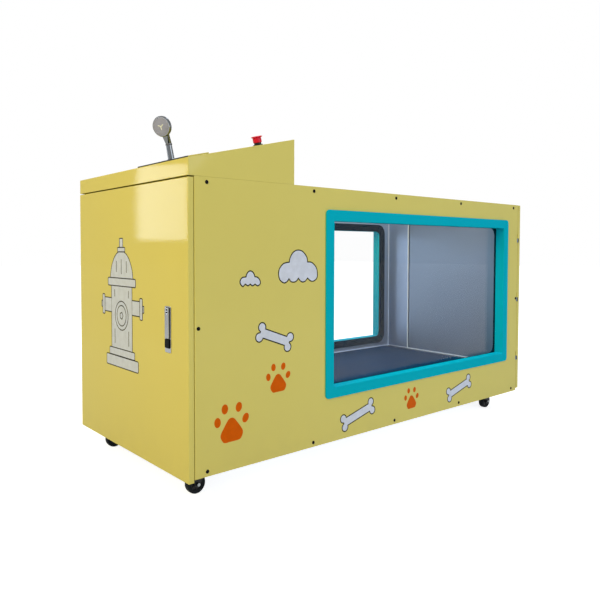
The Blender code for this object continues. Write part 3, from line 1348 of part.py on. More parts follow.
def build_shower():
    """The deck socket on the console and the hand shower that lifts out of it."""
    x = CONSOLE_FRONT_X + SHOWER_FROM_FRONT
    base = Vector((x, -FACE_Y + SHOWER_FROM_EDGE, slope_height(x)))
    bore = SHOWER_SHANK_RADIUS + SHOWER_SLIDE_CLEARANCE
    sleeve_radius = bore + SHOWER_SLEEVE_WALL
    holder = rod(
        "shower_holder",
        base - SHOWER_AXIS * (SHOWER_SOCKET_DEPTH - SHOWER_SLEEVE_RISE),
        base + SHOWER_AXIS * SHOWER_SLEEVE_RISE,
        sleeve_radius,
        "bright_chrome",
    )
    flange_start = base + SLOPE_NORMAL * SEAT_GAP
    flange_end = base + SLOPE_NORMAL * (SEAT_GAP + SHOWER_FLANGE_THICKNESS)
    fuse(holder, rod("shower_flange", flange_start, flange_end, SHOWER_FLANGE_RADIUS, "bright_chrome"))
    bore_start = base - SHOWER_AXIS * SHOWER_SOCKET_DEPTH
    bore_end = base + SHOWER_AXIS * SHOWER_SOCKET_DEPTH
    cut(holder, rod("shower_bore", bore_start, bore_end, bore, "bright_chrome"))
    shoulder = SHOWER_SLEEVE_RISE + SEAT_GAP
    handle_profile = [
        (0, SHOWER_NECK_ALONG + SHOWER_NECK_RADIUS),
        (
            SHOWER_NECK_RADIUS * SHOWER_NECK_CORNER,
            SHOWER_NECK_ALONG + SHOWER_NECK_RADIUS * SHOWER_NECK_CORNER,
        ),
        (SHOWER_NECK_RADIUS, SHOWER_NECK_ALONG),
        (SHOWER_HANDLE_RADIUS, shoulder + SHOWER_SHOULDER_HEIGHT * 2),
        (SHOWER_SHOULDER_RADIUS, shoulder + SHOWER_SHOULDER_HEIGHT),
        (SHOWER_SHOULDER_RADIUS, shoulder),
        (SHOWER_SHANK_RADIUS, shoulder),
        (SHOWER_SHANK_RADIUS, -SHOWER_SOCKET_DEPTH),
        (0, -SHOWER_SOCKET_DEPTH),
    ]
    handset = turned("shower_handset", handle_profile, base, SHOWER_AXIS, "bright_chrome")
    centre = base + SHOWER_AXIS * SHOWER_DISC_ALONG + SHOWER_FACE * SHOWER_DISC_FORWARD
    half = SHOWER_DISC_THICKNESS / 2
    disc_profile = [
        (0, half),
        (SHOWER_DISC_RADIUS - half / 2, half),
        (SHOWER_DISC_RADIUS, half / 2),
        (SHOWER_DISC_RADIUS, -half / 4),
    ]
    disc_profile += [(SHOWER_DISC_RADIUS * r, -half * depth) for r, depth in SHOWER_BACK_SHARES]
    fuse(handset, shower_neck(base + SHOWER_AXIS * SHOWER_NECK_ALONG, centre))
    fuse(handset, turned("shower_disc", disc_profile, centre, SHOWER_FACE, "bright_chrome"))
    carry(pivot("shower_axis", base), handset)
    return base


def bulkhead_fitting(name, y, z, radius, finish):
    """The flange by which a pipe sits on the back of the bulkhead."""
    end_x = BULKHEAD_BACK_X - SEAT_GAP
    start = (end_x - FITTING_FLANGE_THICKNESS, y, z)
    return rod(name, start, (end_x, y, z), radius + FITTING_FLANGE_WIDTH, finish)


def build_pump():
    """The circulation pump on the bay floor, fed through the bulkhead."""
    volute_end = BULKHEAD_BACK_X - PUMP_STANDOFF
    volute_start = volute_end - PUMP_WIDTH
    motor_start = volute_start - PUMP_MOTOR_LENGTH
    pump = rod(
        "circulation_pump",
        (volute_start, PUMP_Y, PUMP_Z),
        (volute_end, PUMP_Y, PUMP_Z),
        PUMP_RADIUS,
        "black_plastic",
    )
    motor_end = volute_start + PUMP_WIDTH / 4
    motor = rod(
        "pump_motor",
        (motor_start, PUMP_Y, PUMP_Z),
        (motor_end, PUMP_Y, PUMP_Z),
        PUMP_MOTOR_RADIUS,
        "black_plastic",
    )
    suction_start = (volute_end - PUMP_WIDTH / 4, PUMP_Y, PUMP_Z)
    suction = rod(
        "pump_suction",
        suction_start,
        (BULKHEAD_X - SEAT_GAP, PUMP_Y, PUMP_Z),
        NOZZLE_RADIUS,
        "black_plastic",
    )
    foot_low = (motor_start + PUMP_WIDTH / 2, PUMP_Y - PUMP_FOOT / 2, WALL_BOTTOM)
    foot_high = (volute_start - PUMP_WIDTH / 4, PUMP_Y + PUMP_FOOT / 2, PUMP_Z - PUMP_MOTOR_RADIUS / 2)
    outlet_x = (volute_start + volute_end) / 2
    outlet_top = PUMP_Z + PUMP_OUTLET_RISE
    outlet = rod(
        "pump_outlet",
        (outlet_x, PUMP_Y, PUMP_Z),
        (outlet_x, PUMP_Y, outlet_top),
        NOZZLE_RADIUS,
        "black_plastic",
    )
    flange = bulkhead_fitting("pump_flange", PUMP_Y, PUMP_Z, NOZZLE_RADIUS, "black_plastic")
    fuse(pump, motor, suction, flange, box("pump_foot", foot_low, foot_high, "black_plastic"), outlet)
    build_pipe(outlet_x, outlet_top + SEAT_GAP)


def build_pipe(start_x, start_z):
    """The pipe from the pump's outlet over to the filter."""
    end_x = FILTER_X + FILTER_RADIUS + SEAT_GAP
    bend = arc((start_x - PIPE_BEND, PIPE_TOP - PIPE_BEND), PIPE_BEND, 0, 90, CORNER_STEPS)
    route = [(start_x, start_z), *bend, (end_x, PIPE_TOP)]
    curve = bpy.data.curves.new("filter_pipe", "CURVE")
    curve.dimensions = "3D"
    curve.bevel_depth = PIPE_RADIUS
    curve.bevel_resolution = 3
    curve.use_fill_caps = True
    spline = curve.splines.new("POLY")
    spline.points.add(len(route) - 1)
    for point, (x, z) in zip(spline.points, route):
        point.co = (x, PUMP_Y, z, 1)
    obj = bpy.data.objects.new("filter_pipe", curve)
    PART.objects.link(obj)
    shade(mesh_from_curve(obj, "grey_plastic").data)


def build_filter():
    """The filter canister with its screwed lid and the return spigot into the tank."""
    lid_bottom = FILTER_TOP - FILTER_LID_HEIGHT
    profile = [
        (0, FILTER_TOP),
        (FILTER_LID_RADIUS * 0.8, FILTER_TOP),
        (FILTER_LID_RADIUS, FILTER_TOP - FILTER_LID_HEIGHT / 4),
        (FILTER_LID_RADIUS, lid_bottom),
        (FILTER_RADIUS, lid_bottom),
        (FILTER_RADIUS, WALL_BOTTOM),
        (0, WALL_BOTTOM),
    ]
    canister = turned("filter_housing", profile, (FILTER_X, PUMP_Y, 0), (0, 0, 1), "grey_plastic")
    spigot = rod(
        "return_spigot",
        (FILTER_X, PUMP_Y, RETURN_Z),
        (BULKHEAD_X - SEAT_GAP, PUMP_Y, RETURN_Z),
        NOZZLE_RADIUS,
        "grey_plastic",
    )
    fuse(
        canister, spigot, bulkhead_fitting("return_flange", PUMP_Y, RETURN_Z, NOZZLE_RADIUS, "grey_plastic")
    )


def build_drain():
    """The drain valve on the bulkhead and its lever, shown closed."""
    start = (BULKHEAD_X - SEAT_GAP, VALVE_Y, VALVE_Z)
    mouth_x = BULKHEAD_X - VALVE_LENGTH
    valve = rod("drain_valve", start, (mouth_x, VALVE_Y, VALVE_Z), VALVE_PIPE_RADIUS, "bright_chrome")
    body_x = BULKHEAD_X - VALVE_FROM_BULKHEAD
    half = VALVE_BODY_LENGTH / 2
    body = rod(
        "valve_body",
        (body_x - half, VALVE_Y, VALVE_Z),
        (body_x + half, VALVE_Y, VALVE_Z),
        VALVE_BODY_RADIUS,
        "bright_chrome",
    )
    bonnet = rod(
        "valve_bonnet",
        (body_x, VALVE_Y, VALVE_Z),
        (body_x, VALVE_Y, VALVE_BONNET_TOP),
        VALVE_BONNET_RADIUS,
        "bright_chrome",
    )
    flange = bulkhead_fitting("valve_flange", VALVE_Y, VALVE_Z, VALVE_PIPE_RADIUS, "bright_chrome")
    fuse(valve, body, bonnet, flange)
    bore_start = (mouth_x - VALVE_BORE_DEPTH, VALVE_Y, VALVE_Z)
    bore_end = (mouth_x + VALVE_BORE_DEPTH, VALVE_Y, VALVE_Z)
    cut(valve, rod("valve_bore", bore_start, bore_end, VALVE_BORE_RADIUS, "bright_chrome"))
    lever_bottom = VALVE_BONNET_TOP + SEAT_GAP
    lever_top = lever_bottom + VALVE_LEVER_THICKNESS
    lever = rod(
        "drain_valve_lever",
        (body_x, VALVE_Y, lever_bottom),
        (body_x, VALVE_Y, lever_top),
        VALVE_BONNET_RADIUS,
        "red_plastic",
    )
    half_width = VALVE_LEVER_WIDTH / 2
    bar_low = (body_x - half_width, VALVE_Y - VALVE_LEVER_LENGTH, lever_bottom + TANK_SHEET)
    bar_high = (body_x + half_width, VALVE_Y, lever_top)
    fuse(lever, box("valve_bar", bar_low, bar_high, "red_plastic"))
    carry(pivot("drain_valve_axis", (body_x, VALVE_Y, lever_bottom)), lever)


def build_control_box():
    length, depth, height = CONTROL_BOX_SIZE
    start_x = -HALF_LENGTH + CONTROL_BOX_FROM_END
    low = (start_x, BEHIND_PANEL_Y - depth, CONTROL_BOX_BOTTOM)
    high = (start_x + length, BEHIND_PANEL_Y, CONTROL_BOX_BOTTOM + height)
    box("control_box", low, high, "grey_plastic", DOOR_EDGE_ROUND)


def fork_shape():
    """A caster fork round its own origin on the floor: crown, cheeks, swivel head and axle bolt."""
    top = GROUND_CLEARANCE - SEAT_GAP
    fork = rod(
        "caster_fork",
        (0, 0, FORK_TOP - FORK_SHEET),
        (0, 0, top),
        SWIVEL_RADIUS,
        "black_plastic",
        ROUND_STEPS,
    )
    half = FORK_GAP / 2
    crown_low = (-FORK_CROWN_LENGTH + SWIVEL_RADIUS, -half - FORK_SHEET, FORK_TOP - FORK_SHEET)
    crown_high = (SWIVEL_RADIUS * 0.8, half + FORK_SHEET, FORK_TOP)
    parts = [box("fork_crown", crown_low, crown_high, "black_plastic")]
    cheek = [
        (crown_low[0], FORK_TOP - FORK_SHEET / 2),
        (crown_low[0], PEDAL_PIVOT_HEIGHT - 2 * PEDAL_BARREL_RADIUS),
        (-WHEEL_TRAIL - WHEEL_HUB_RADIUS, WHEEL_RADIUS),
        *arc((-WHEEL_TRAIL, WHEEL_RADIUS), WHEEL_HUB_RADIUS, 200, 340, CORNER_STEPS),
        (-WHEEL_TRAIL + WHEEL_HUB_RADIUS, WHEEL_RADIUS),
        (crown_high[0], FORK_TOP - FORK_SHEET / 2),
    ]
    for i, side in enumerate((-1, 1)):
        parts.append(
            extrusion(
                f"fork_cheek_{i}", [cheek], "Y", side * half, side * (half + FORK_SHEET), "black_plastic"
            ),
        )
    axle_end = half + FORK_SHEET + CASTER_NUT_THICKNESS
    ends = [(-WHEEL_TRAIL, side * axle_end, WHEEL_RADIUS) for side in (-1, 1)]
    parts.append(rod("fork_axle", *ends, CASTER_AXLE_RADIUS, "black_plastic", SMALL_STEPS))
    for i, side in enumerate((-1, 1)):
        nut_start = (-WHEEL_TRAIL, side * (half + FORK_SHEET / 2), WHEEL_RADIUS)
        nut_end = (-WHEEL_TRAIL, side * axle_end, WHEEL_RADIUS)
        parts.append(rod(f"fork_nut_{i}", nut_start, nut_end, CASTER_NUT_RADIUS, "black_plastic", 6))
    return settled(fuse(fork, *parts))


def wheel_shape():
    """A caster wheel about its own axle."""
    half = WHEEL_WIDTH / 2
    hub_half = FORK_GAP / 2 - WHEEL_SIDE_CLEARANCE
    bore = CASTER_AXLE_RADIUS + RUNNING_CLEARANCE
    rim = WHEEL_RADIUS - WHEEL_ROUND
    profile = [
        (bore, hub_half),
        (WHEEL_HUB_RADIUS, hub_half),
        (WHEEL_HUB_RADIUS, half),
        (rim, half),
        (WHEEL_RADIUS - WHEEL_ROUND * 0.3, half - WHEEL_ROUND * 0.3),
        (WHEEL_RADIUS, half - WHEEL_ROUND),
        (WHEEL_RADIUS, -half + WHEEL_ROUND),
        (WHEEL_RADIUS - WHEEL_ROUND * 0.3, -half + WHEEL_ROUND * 0.3),
        (rim, -half),
        (WHEEL_HUB_RADIUS, -half),
        (WHEEL_HUB_RADIUS, -hub_half),
        (bore, -hub_half),
    ]
    wheel = turned("caster_wheel", profile, (0, 0, 0), (0, 1, 0), "black_rubber", ring=True)
    return settled(wheel)


def pedal_shape():
    """A brake pedal about its own pivot."""
    half = FORK_GAP / 2 - SEAT_GAP
    pedal = rod(
        "brake_pedal", (0, -half, 0), (0, half, 0), PEDAL_BARREL_RADIUS, "black_plastic", SMALL_STEPS
    )
    pedal_low = (-PEDAL_LENGTH, -half + SEAT_GAP, -PEDAL_THICKNESS / 2)
    plate = box("pedal_plate", pedal_low, (0, half - SEAT_GAP, PEDAL_THICKNESS / 2), "black_plastic")
    return settled(fuse(pedal, plate))


def place_copy(source, name, place):
    """Another object with the source's mesh, at a place."""
    obj = bpy.data.objects.new(name, source.data)
    obj.matrix_world = Matrix.Translation(place) @ source.matrix_world
    PART.objects.link(obj)
    return obj


def build_casters():
    """Four swivel casters that trail the same way, with brakes on the two front ones."""
    fork = fork_shape()
    wheel = wheel_shape()
    pedal = pedal_shape()
    for end, side_x in (("left", -1), ("right", 1)):
        for row, side_y in (("front", -1), ("rear", 1)):
            name = f"{row}_{end}"
            foot = Vector((side_x * (HALF_LENGTH - CASTER_INSET_X), side_y * (FACE_Y - CASTER_INSET_Y), 0))
            swivel = pivot(f"caster_swivel_{name}", foot)
            carry(swivel, place_copy(fork, f"caster_fork_{name}", foot))
            hub = foot + Vector((-WHEEL_TRAIL, 0, WHEEL_RADIUS))
            axle = pivot(f"caster_axle_{name}", hub, swivel)
            carry(axle, place_copy(wheel, f"caster_wheel_{name}", hub))
            if side_y < 0:
                hinge = foot + Vector((-WHEEL_TRAIL - PEDAL_PIVOT_BACK, 0, PEDAL_PIVOT_HEIGHT))
                brake = pivot(f"brake_axis_{name}", hinge, swivel)
                carry(brake, place_copy(pedal, f"brake_pedal_{name}", hinge))
    for source in (fork, wheel, pedal):
        bpy.data.objects.remove(source, do_unlink=True)


clear_scene()
PART = new_collection("underwater_dog_treadmill")
HELPERS = new_collection("cutters_and_guides")
HELPERS.hide_render = True
PIVOT_PLACES = {}

build_base()
build_side_panels()
build_tank_walls()
build_tank_floor()
build_bulkhead()
build_windows()
build_deck()
build_drive()
build_portal()
build_service_door()
build_end_wall()
build_entry_door()
build_console()
build_pump()
build_filter()
build_drain()
build_control_box()
build_casters()
bpy.context.view_layer.update()
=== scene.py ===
"""Underwater dog treadmill: finishes, small parts, printed figures, light and camera."""
import math

import bmesh
import bpy
from mathutils import Matrix, Vector


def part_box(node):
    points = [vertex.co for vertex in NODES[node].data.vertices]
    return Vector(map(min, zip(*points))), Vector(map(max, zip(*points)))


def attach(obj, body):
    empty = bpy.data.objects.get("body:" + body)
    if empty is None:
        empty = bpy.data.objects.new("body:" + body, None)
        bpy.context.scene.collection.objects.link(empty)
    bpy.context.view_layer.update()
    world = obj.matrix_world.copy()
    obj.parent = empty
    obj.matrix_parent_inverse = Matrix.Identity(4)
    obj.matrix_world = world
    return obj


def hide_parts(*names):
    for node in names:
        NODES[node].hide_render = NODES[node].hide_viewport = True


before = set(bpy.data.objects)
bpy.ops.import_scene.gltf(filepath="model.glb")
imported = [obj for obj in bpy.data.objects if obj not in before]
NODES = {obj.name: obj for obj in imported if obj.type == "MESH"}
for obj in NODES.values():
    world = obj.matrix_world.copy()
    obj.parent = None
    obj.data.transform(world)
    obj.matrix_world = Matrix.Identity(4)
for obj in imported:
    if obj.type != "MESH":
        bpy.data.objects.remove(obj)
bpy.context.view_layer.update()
SCENE = bpy.context.scene

# Camera, fitted to the corners of the body in the photograph
CAMERA_PLACE = (-2.1412, -2.222, 0.8871)
CAMERA_RIGHT = Vector((0.768273, -0.640121, 0.001352))
CAMERA_UP = Vector((0.021373, 0.027762, 0.999386))
CAMERA_FORWARD = Vector((0.639766, 0.767772, -0.03501))
CAMERA_LENS = 36.5
CAMERA_SENSOR = 36.0
CAMERA_SHIFT = (0.03357, -0.04848)
CAMERA_CLIP = (0.05, 200.0)

# Colours as they look under plain white light
YELLOW = (0.695, 0.62, 0.168)
TEAL = (0.002, 0.445, 0.6)
STEEL = (0.395, 0.465, 0.565)
# Painted shade and painted light: the end wall's steel is the stainless of STEEL painted darker for
# the shade the end wall lies in, and the doorway frame's is a lighter copy painted against the
# shade near the corner
SHADED_END_STEEL = (0.174, 0.234, 0.335)
LIT_FRAME_STEEL = (0.245, 0.325, 0.48)
BELT = (0.004, 0.028, 0.076)
ORANGE = (0.65, 0.108, 0.0)
PALE = (0.66, 0.715, 0.86)
DOOR_PALE = (0.59, 0.65, 0.82)
INK = (0.01, 0.01, 0.012)
# Painted shade: the near-black of the hinge knuckles, where the hinge gaps lie in shade
KNUCKLE_PAINTED_SHADE = (0.016, 0.017, 0.02)

# Light of the surroundings, and how the floor turns white away from the middle
WHITE = (1.0, 1.0, 1.0, 1.0)
SKY = (0.93, 0.97, 1.0, 1.0)
WORLD_LIGHT = 0.32
FLOOR_HALF = 30.0
FLOOR_REACH = (1.6, 3.6)
FLOOR_GLOW = (0.82, 1.0)

# Places on the solids, in metres
DOOR_FACE_X = -1.0751
KNUCKLE_EDGE_X = 1.0469
KEY_PLATE_SIDE_Y = -0.4582
CONSOLE_LOW_WALL, CONSOLE_HIGH_WALL, CONSOLE_RUN = 0.06, 0.172, 0.471
CONSOLE_SLOPE = math.atan2(CONSOLE_HIGH_WALL - CONSOLE_LOW_WALL, CONSOLE_RUN)
SHOWER_PLACE = (-0.937, -0.1175)
SHOWER_UP_SLOPE = 0.137
SHOWER_FACE = Vector((-0.84, -0.46, -0.32)).normalized()
SHOWER_TILT = math.radians(11)
SHOWER_AXIS = Vector((-math.sin(SHOWER_TILT), 0, math.cos(SHOWER_TILT)))
SHOWER_DISC_ALONG = 0.1408
SHOWER_DISC_FORWARD = 0.0245
SHOWER_COLLAR_ALONG = 0.068
SHOWER_HALF = 0.009
LATCH_MIDDLE_Z = 0.605
LATCH_OPENING = (0.0, 0.00565)
LATCH_FLOOR = (0.0, 0.00515)
DOORWAY_LOW = (-0.3725, 0.256)
DOORWAY_HIGH = (0.2485, 1.065)
SEALANT_RADIUS = 0.0024
TRIM_RADIUS = 0.0029
TRIM_SETBACK = 0.002
PUMP_AXIS_Z = 0.215
PUMP_VOLUTE_X = 0.17
PIPE_INLET_Z = 0.42
PEDAL_TOP_DROP = 0.0001
CORNERS = ("front_left", "front_right", "rear_left", "rear_right")

# Screws along the edges of the side panels
SCREW_COUNT = 5
SCREW_STEP = 0.5
SCREW_START = -1.0
SCREW_EDGE = 0.018
SCREW_END_EDGE = 0.015

# Decals: place (x, z) with length and tilt in degrees for a bone, and with scale for a paw print
PRINT_STEP = 0.00006
FIGURE_LINE = 0.0046
BONE_HEIGHT = 0.078
BONE_SHAFT = 0.02
BONES = (
    ((-0.6979, 0.5578), 0.184, -19.7),
    ((-0.2399, 0.1863), 0.214, 15.0),
    ((0.5018, 0.1923), 0.216, 15.3),
)
PAWS = (((-0.897, 0.242), 1.0), ((-0.682, 0.3805), 0.79), ((0.1205, 0.18), 0.7))
PAW_PAD = [
    (-0.047, -0.021), (-0.0475, -0.006), (-0.033, 0.017), (-0.0165, 0.04), (-0.005, 0.046),
    (0.0065, 0.045), (0.018, 0.035), (0.044, 0.001), (0.049, -0.015), (0.042, -0.032),
    (0.03, -0.0385), (-0.008, -0.0395), (-0.033, -0.039),
]
PAW_TOES = ((-0.061, 0.038, 5.0), (-0.03, 0.081, 0.0), (0.031, 0.08, -10.0), (0.061, 0.036, -28.0))
BIG_CLOUD = [
    [(-0.6556, 0.7584), (-0.6754, 0.7703), (-0.6833, 0.79), (-0.682, 0.8094),
     (-0.6727, 0.8244), (-0.6558, 0.8372), (-0.63, 0.8416)],
    [(-0.6271, 0.8543), (-0.617, 0.8718), (-0.601, 0.8839), (-0.5819, 0.8878),
     (-0.5626, 0.8839), (-0.546, 0.8716), (-0.5347, 0.8558), (-0.5322, 0.8412)],
    [(-0.5139, 0.8399), (-0.4953, 0.8283), (-0.4828, 0.8122), (-0.4789, 0.7915),
     (-0.481, 0.7756), (-0.4919, 0.7645), (-0.5089, 0.7599), (-0.5228, 0.7644), (-0.5335, 0.7726)],
    [(-0.5441, 0.7628), (-0.5576, 0.7588), (-0.5711, 0.7626), (-0.5815, 0.7729)],
    [(-0.5919, 0.7633), (-0.6065, 0.76), (-0.6211, 0.7631), (-0.6298, 0.7722)],
    [(-0.635, 0.766), (-0.6414, 0.7616)],
]
SMALL_CLOUD = [
    [(-0.8483, 0.7521), (-0.8597, 0.7618), (-0.8627, 0.7721), (-0.8584, 0.7823),
     (-0.8495, 0.7892), (-0.8355, 0.7909)],
    [(-0.8329, 0.7991), (-0.8251, 0.8083), (-0.814, 0.8122), (-0.8025, 0.8078),
     (-0.7952, 0.7992), (-0.792, 0.7908)],
    [(-0.7793, 0.7873), (-0.7695, 0.7775), (-0.766, 0.7669), (-0.7687, 0.7585),
     (-0.7806, 0.7522), (-0.7925, 0.7583)],
    [(-0.8044, 0.7531), (-0.8148, 0.7591)],
    [(-0.8252, 0.7539), (-0.8368, 0.7599)],
]
HYDRANT_PLACE = (DOOR_FACE_X, 0.045, 0.41)
HYDRANT_LINE = 0.0042

# Profiles of (radius, height) for turned parts
SCREW_HEAD = (
    (0.0, 0.0009), (0.0027, 0.0009), (0.0029, 0.0024), (0.0042, 0.0023), (0.006, 0.0015),
    (0.0071, 0.0004), (0.0071, 0.0),
)
TYRE_HALF = ((0.0245, -0.0118), (0.0335, -0.0138), (0.0362, -0.0118), (0.0373, -0.007))
WHEEL_CORE_HALF = (
    (0.0046, -0.014), (0.0104, -0.014), (0.011, -0.011), (0.012, -0.0086), (0.0215, -0.008),
    (0.0245, -0.0118),
)
AXLE_END = ((0.0, 0.0001), (0.0066, 0.0001), (0.0066, 0.002), (0.0058, 0.0028), (0.0, 0.0028))
CONSOLE_LAMP = ((0.0, 0.001), (0.0012, 0.0008), (0.0018, 0.0002), (0.0018, 0.0))
SPRAY_PLATE = ((0.0, 0.0014), (0.018, 0.0013), (0.031, 0.0008), (0.0345, 0.0001), (0.0, 0.0001))
NOZZLE = ((0.0, 0.0012), (0.0006, 0.0011), (0.001, 0.0), (0.0, 0.0))
SPRAY_BUTTON = ((0.0, 0.0028), (0.0026, 0.0026), (0.0036, 0.0016), (0.0036, 0.0008), (0.0, 0.0008))
SHOWER_RIM = (
    (0.0345, 0.0001), (0.035, 0.0014), (0.036, 0.0015), (0.0372, 0.0004), (0.0372, 0.0001),
)
SHOWER_BAND = (
    (0.0116, -0.003), (0.0128, -0.0024), (0.0131, 0.0), (0.0128, 0.0024), (0.0116, 0.003),
)
BOX_SCREW = ((0.0, 0.0018), (0.0022, 0.0018), (0.003, 0.0008), (0.003, 0.0), (0.0, 0.0))
MOTOR_GLAND = (
    (0.0, 0.0), (0.0085, 0.0), (0.0085, 0.006), (0.007, 0.007), (0.007, 0.016), (0.0045, 0.019),
    (0.0, 0.019),
)
BOX_GLAND = (
    (0.0, 0.0), (0.0115, 0.0), (0.0115, 0.006), (0.009, 0.008), (0.009, 0.018), (0.005, 0.024),
    (0.0, 0.024),
)
BEARING_BOLT = ((0.0, 0.0042), (0.004, 0.0042), (0.0047, 0.0034), (0.0047, 0.0), (0.0, 0.0))
GREASE_NIPPLE = (
    (0.0, 0.0075), (0.0016, 0.007), (0.002, 0.0055), (0.0014, 0.0045), (0.0026, 0.0), (0.0, 0.0),
)
PULLEY_SCREW = ((0.0, -0.0012), (0.003, -0.0012), (0.0036, 0.0), (0.0, 0.0))
PUMP_BAND = ((0.0482, 0.006), (0.0512, 0.008), (0.0512, 0.024), (0.0482, 0.026))
PUMP_BOLT = ((0.0, 0.0038), (0.0034, 0.0038), (0.004, 0.003), (0.004, 0.0), (0.0, 0.0))
PIPE_NUT = (
    (0.0183, 0.0), (0.025, 0.001), (0.0262, 0.004), (0.0262, 0.02), (0.025, 0.023), (0.0183, 0.024),
)
HINGE_BARREL = (
    (0.0, 0.0), (0.0034, 0.0), (0.0038, 0.001), (0.0038, 0.035), (0.0034, 0.036), (0.0, 0.036),
)
TURN_LOCK = ((0.0, 0.003), (0.007, 0.0028), (0.0086, 0.0016), (0.009, 0.0), (0.0, 0.0))


def linked(name, data):
    """A new object in the scene."""
    obj = bpy.data.objects.new(name, data)
    SCENE.collection.objects.link(obj)
    return obj


class Tree:
    """A node tree and a few short calls to fill it."""

    def __init__(self, tree):
        self.tree = tree
        tree.nodes.clear()

    def node(self, kind, values=None, **settings):
        """A new node with values for its inputs and settings of its own."""
        made = self.tree.nodes.new(kind)
        for key, value in settings.items():
            setattr(made, key, value)
        for key, value in (values or {}).items():
            made.inputs[key].default_value = value
        return made

    def link(self, source, target):
        self.tree.links.new(source, target)

    def maths(self, operation, first, second):
        made = self.node("ShaderNodeMath", operation=operation)
        for socket, value in zip(made.inputs, (first, second)):
            if isinstance(value, (int, float)):
                socket.default_value = value
            else:
                self.link(value, socket)
        return made.outputs[0]

    def looked_at(self):
        """1 for rays that look at it, straight, in a mirror or through glass, and 0 for others."""
        path = self.node("ShaderNodeLightPath")
        seen = self.maths("MAXIMUM", path.outputs["Is Camera Ray"], path.outputs["Is Glossy Ray"])
        return self.maths("MAXIMUM", seen, path.outputs["Is Transmission Ray"])


class Finish(Tree):
    """A node material with one Principled shader and patterns in the piece's own coordinates."""

    def __init__(self, name, **sockets):
        self.material = bpy.data.materials.new(name)
        self.material.use_nodes = True
        super().__init__(self.material.node_tree)
        self.output = self.node("ShaderNodeOutputMaterial")
        self.shader = self.node("ShaderNodeBsdfPrincipled")
        self.link(self.shader.outputs[0], self.output.inputs["Surface"])
        self.place = self.node("ShaderNodeTexCoord").outputs["Object"]
        for key, value in sockets.items():
            socket = self.shader.inputs[key.replace("_", " ")]
            socket.default_value = (*value, 1.0) if isinstance(value, tuple) else value

    def noise(self, scale, detail, stretch=None):
        values = {"Scale": scale, "Detail": detail, "Roughness": 0.55}
        made = self.node("ShaderNodeTexNoise", values)
        place = self.place
        if stretch:
            mapping = self.node("ShaderNodeMapping", {"Scale": stretch})
            self.link(place, mapping.inputs["Vector"])
            place = mapping.outputs[0]
        self.link(place, made.inputs["Vector"])
        return made.outputs["Fac"]

    def cells(self, scale):
        made = self.node("ShaderNodeTexVoronoi", {"Scale": scale})
        self.link(self.place, made.inputs["Vector"])
        return made.outputs["Distance"]

    def along(self, axis):
        split = self.node("ShaderNodeSeparateXYZ")
        self.link(self.place, split.inputs[0])
        return split.outputs[axis]

    def range(self, source, low, high, out_low=0.0, out_high=1.0):
        ends = {"From Min": low, "From Max": high, "To Min": out_low, "To Max": out_high}
        made = self.node("ShaderNodeMapRange", ends)
        self.link(source, made.inputs["Value"])
        return made.outputs[0]

    def blend(self, factor, first, second):
        made = self.node("ShaderNodeMix", data_type="RGBA")
        self.link(factor, made.inputs["Factor"])
        for key, value in zip((6, 7), (first, second)):
            if isinstance(value, tuple):
                made.inputs[key].default_value = (*value, 1.0)
            else:
                self.link(value, made.inputs[key])
        return made.outputs[2]

    def colour(self, source):
        self.link(source, self.shader.inputs["Base Color"])

    def rough(self, source):
        self.link(source, self.shader.inputs["Roughness"])

    def relief(self, source, distance, strength):
        made = self.node("ShaderNodeBump", {"Strength": strength, "Distance": distance})
        self.link(source, made.inputs["Height"])
        for name in ("Normal", "Coat Normal"):
            if name == "Normal" or self.shader.inputs["Coat Weight"].default_value:
                self.link(made.outputs[0], self.shader.inputs[name])


def shade_of(colour, factor):
    return tuple(min(1.0, channel * factor) for channel in colour)


def paint(name, colour, gloss, coat):
    """Sprayed enamel: orange peel, slow drift of the colour, dust low down, a few rubbed flecks."""
    made = Finish(name, Coat_Weight=coat, Coat_Roughness=0.045, Specular_IOR_Level=0.0)
    drift = made.range(made.noise(1.6, 3.0), 0.3, 0.7)
    base = made.blend(drift, shade_of(colour, 0.985), shade_of(colour, 1.012))
    low_down = made.range(made.along("Z"), 0.3, 0.09)
    dust = made.maths("MULTIPLY", low_down, made.range(made.noise(14.0, 5.0), 0.35, 0.75))
    dust_colour = tuple(c * 0.72 + 0.05 for c in colour)
    dusty = made.blend(made.maths("MULTIPLY", dust, 0.16), base, dust_colour)
    flecks = made.range(made.noise(240.0, 4.0), 0.76, 0.82)
    made.colour(made.blend(made.maths("MULTIPLY", flecks, 0.12), dusty, shade_of(colour, 0.8)))
    made.rough(made.range(made.noise(5.0, 4.0), 0.25, 0.75, gloss - 0.02, gloss + 0.02))
    made.relief(made.noise(330.0, 2.0), 0.00018, 0.18)
    return made.material


def brushed(name, colour, gloss, stretch, scale=1.0, shaded_beyond=None, relief=0.00004):
    """Brushed sheet metal: fine scratches one way, slow smears of wear; near-black painted shade
    beyond a given x.
    """
    made = Finish(name, Metallic=1.0, Specular_IOR_Level=0.5)
    grain = made.noise(1.0, 2.0, stretch)
    smear = made.noise(3.0 * scale, 4.0)
    depth = 0.05 if relief else 0.012
    low, high = shade_of(colour, 1 - depth), shade_of(colour, 1 + depth)
    base = made.blend(made.range(grain, 0.3, 0.7), low, high)
    base = made.blend(made.range(smear, 0.35, 0.8, 0.0, 0.3), base, shade_of(colour, 0.9))
    # Painted shade: near-black past the given x, on the hinge knuckles
    if shaded_beyond:
        edge = made.range(made.along("X"), shaded_beyond, shaded_beyond + 0.0002)
        base = made.blend(edge, base, KNUCKLE_PAINTED_SHADE)
    made.colour(base)
    spread = made.range(smear, 0.25, 0.75, -0.02, 0.03)
    scratched = made.range(grain, 0.2, 0.8, gloss - depth / 2, gloss + depth / 2)
    made.rough(made.maths("ADD", scratched, spread))
    if relief:
        made.relief(grain, relief, 0.12)
    return made.material


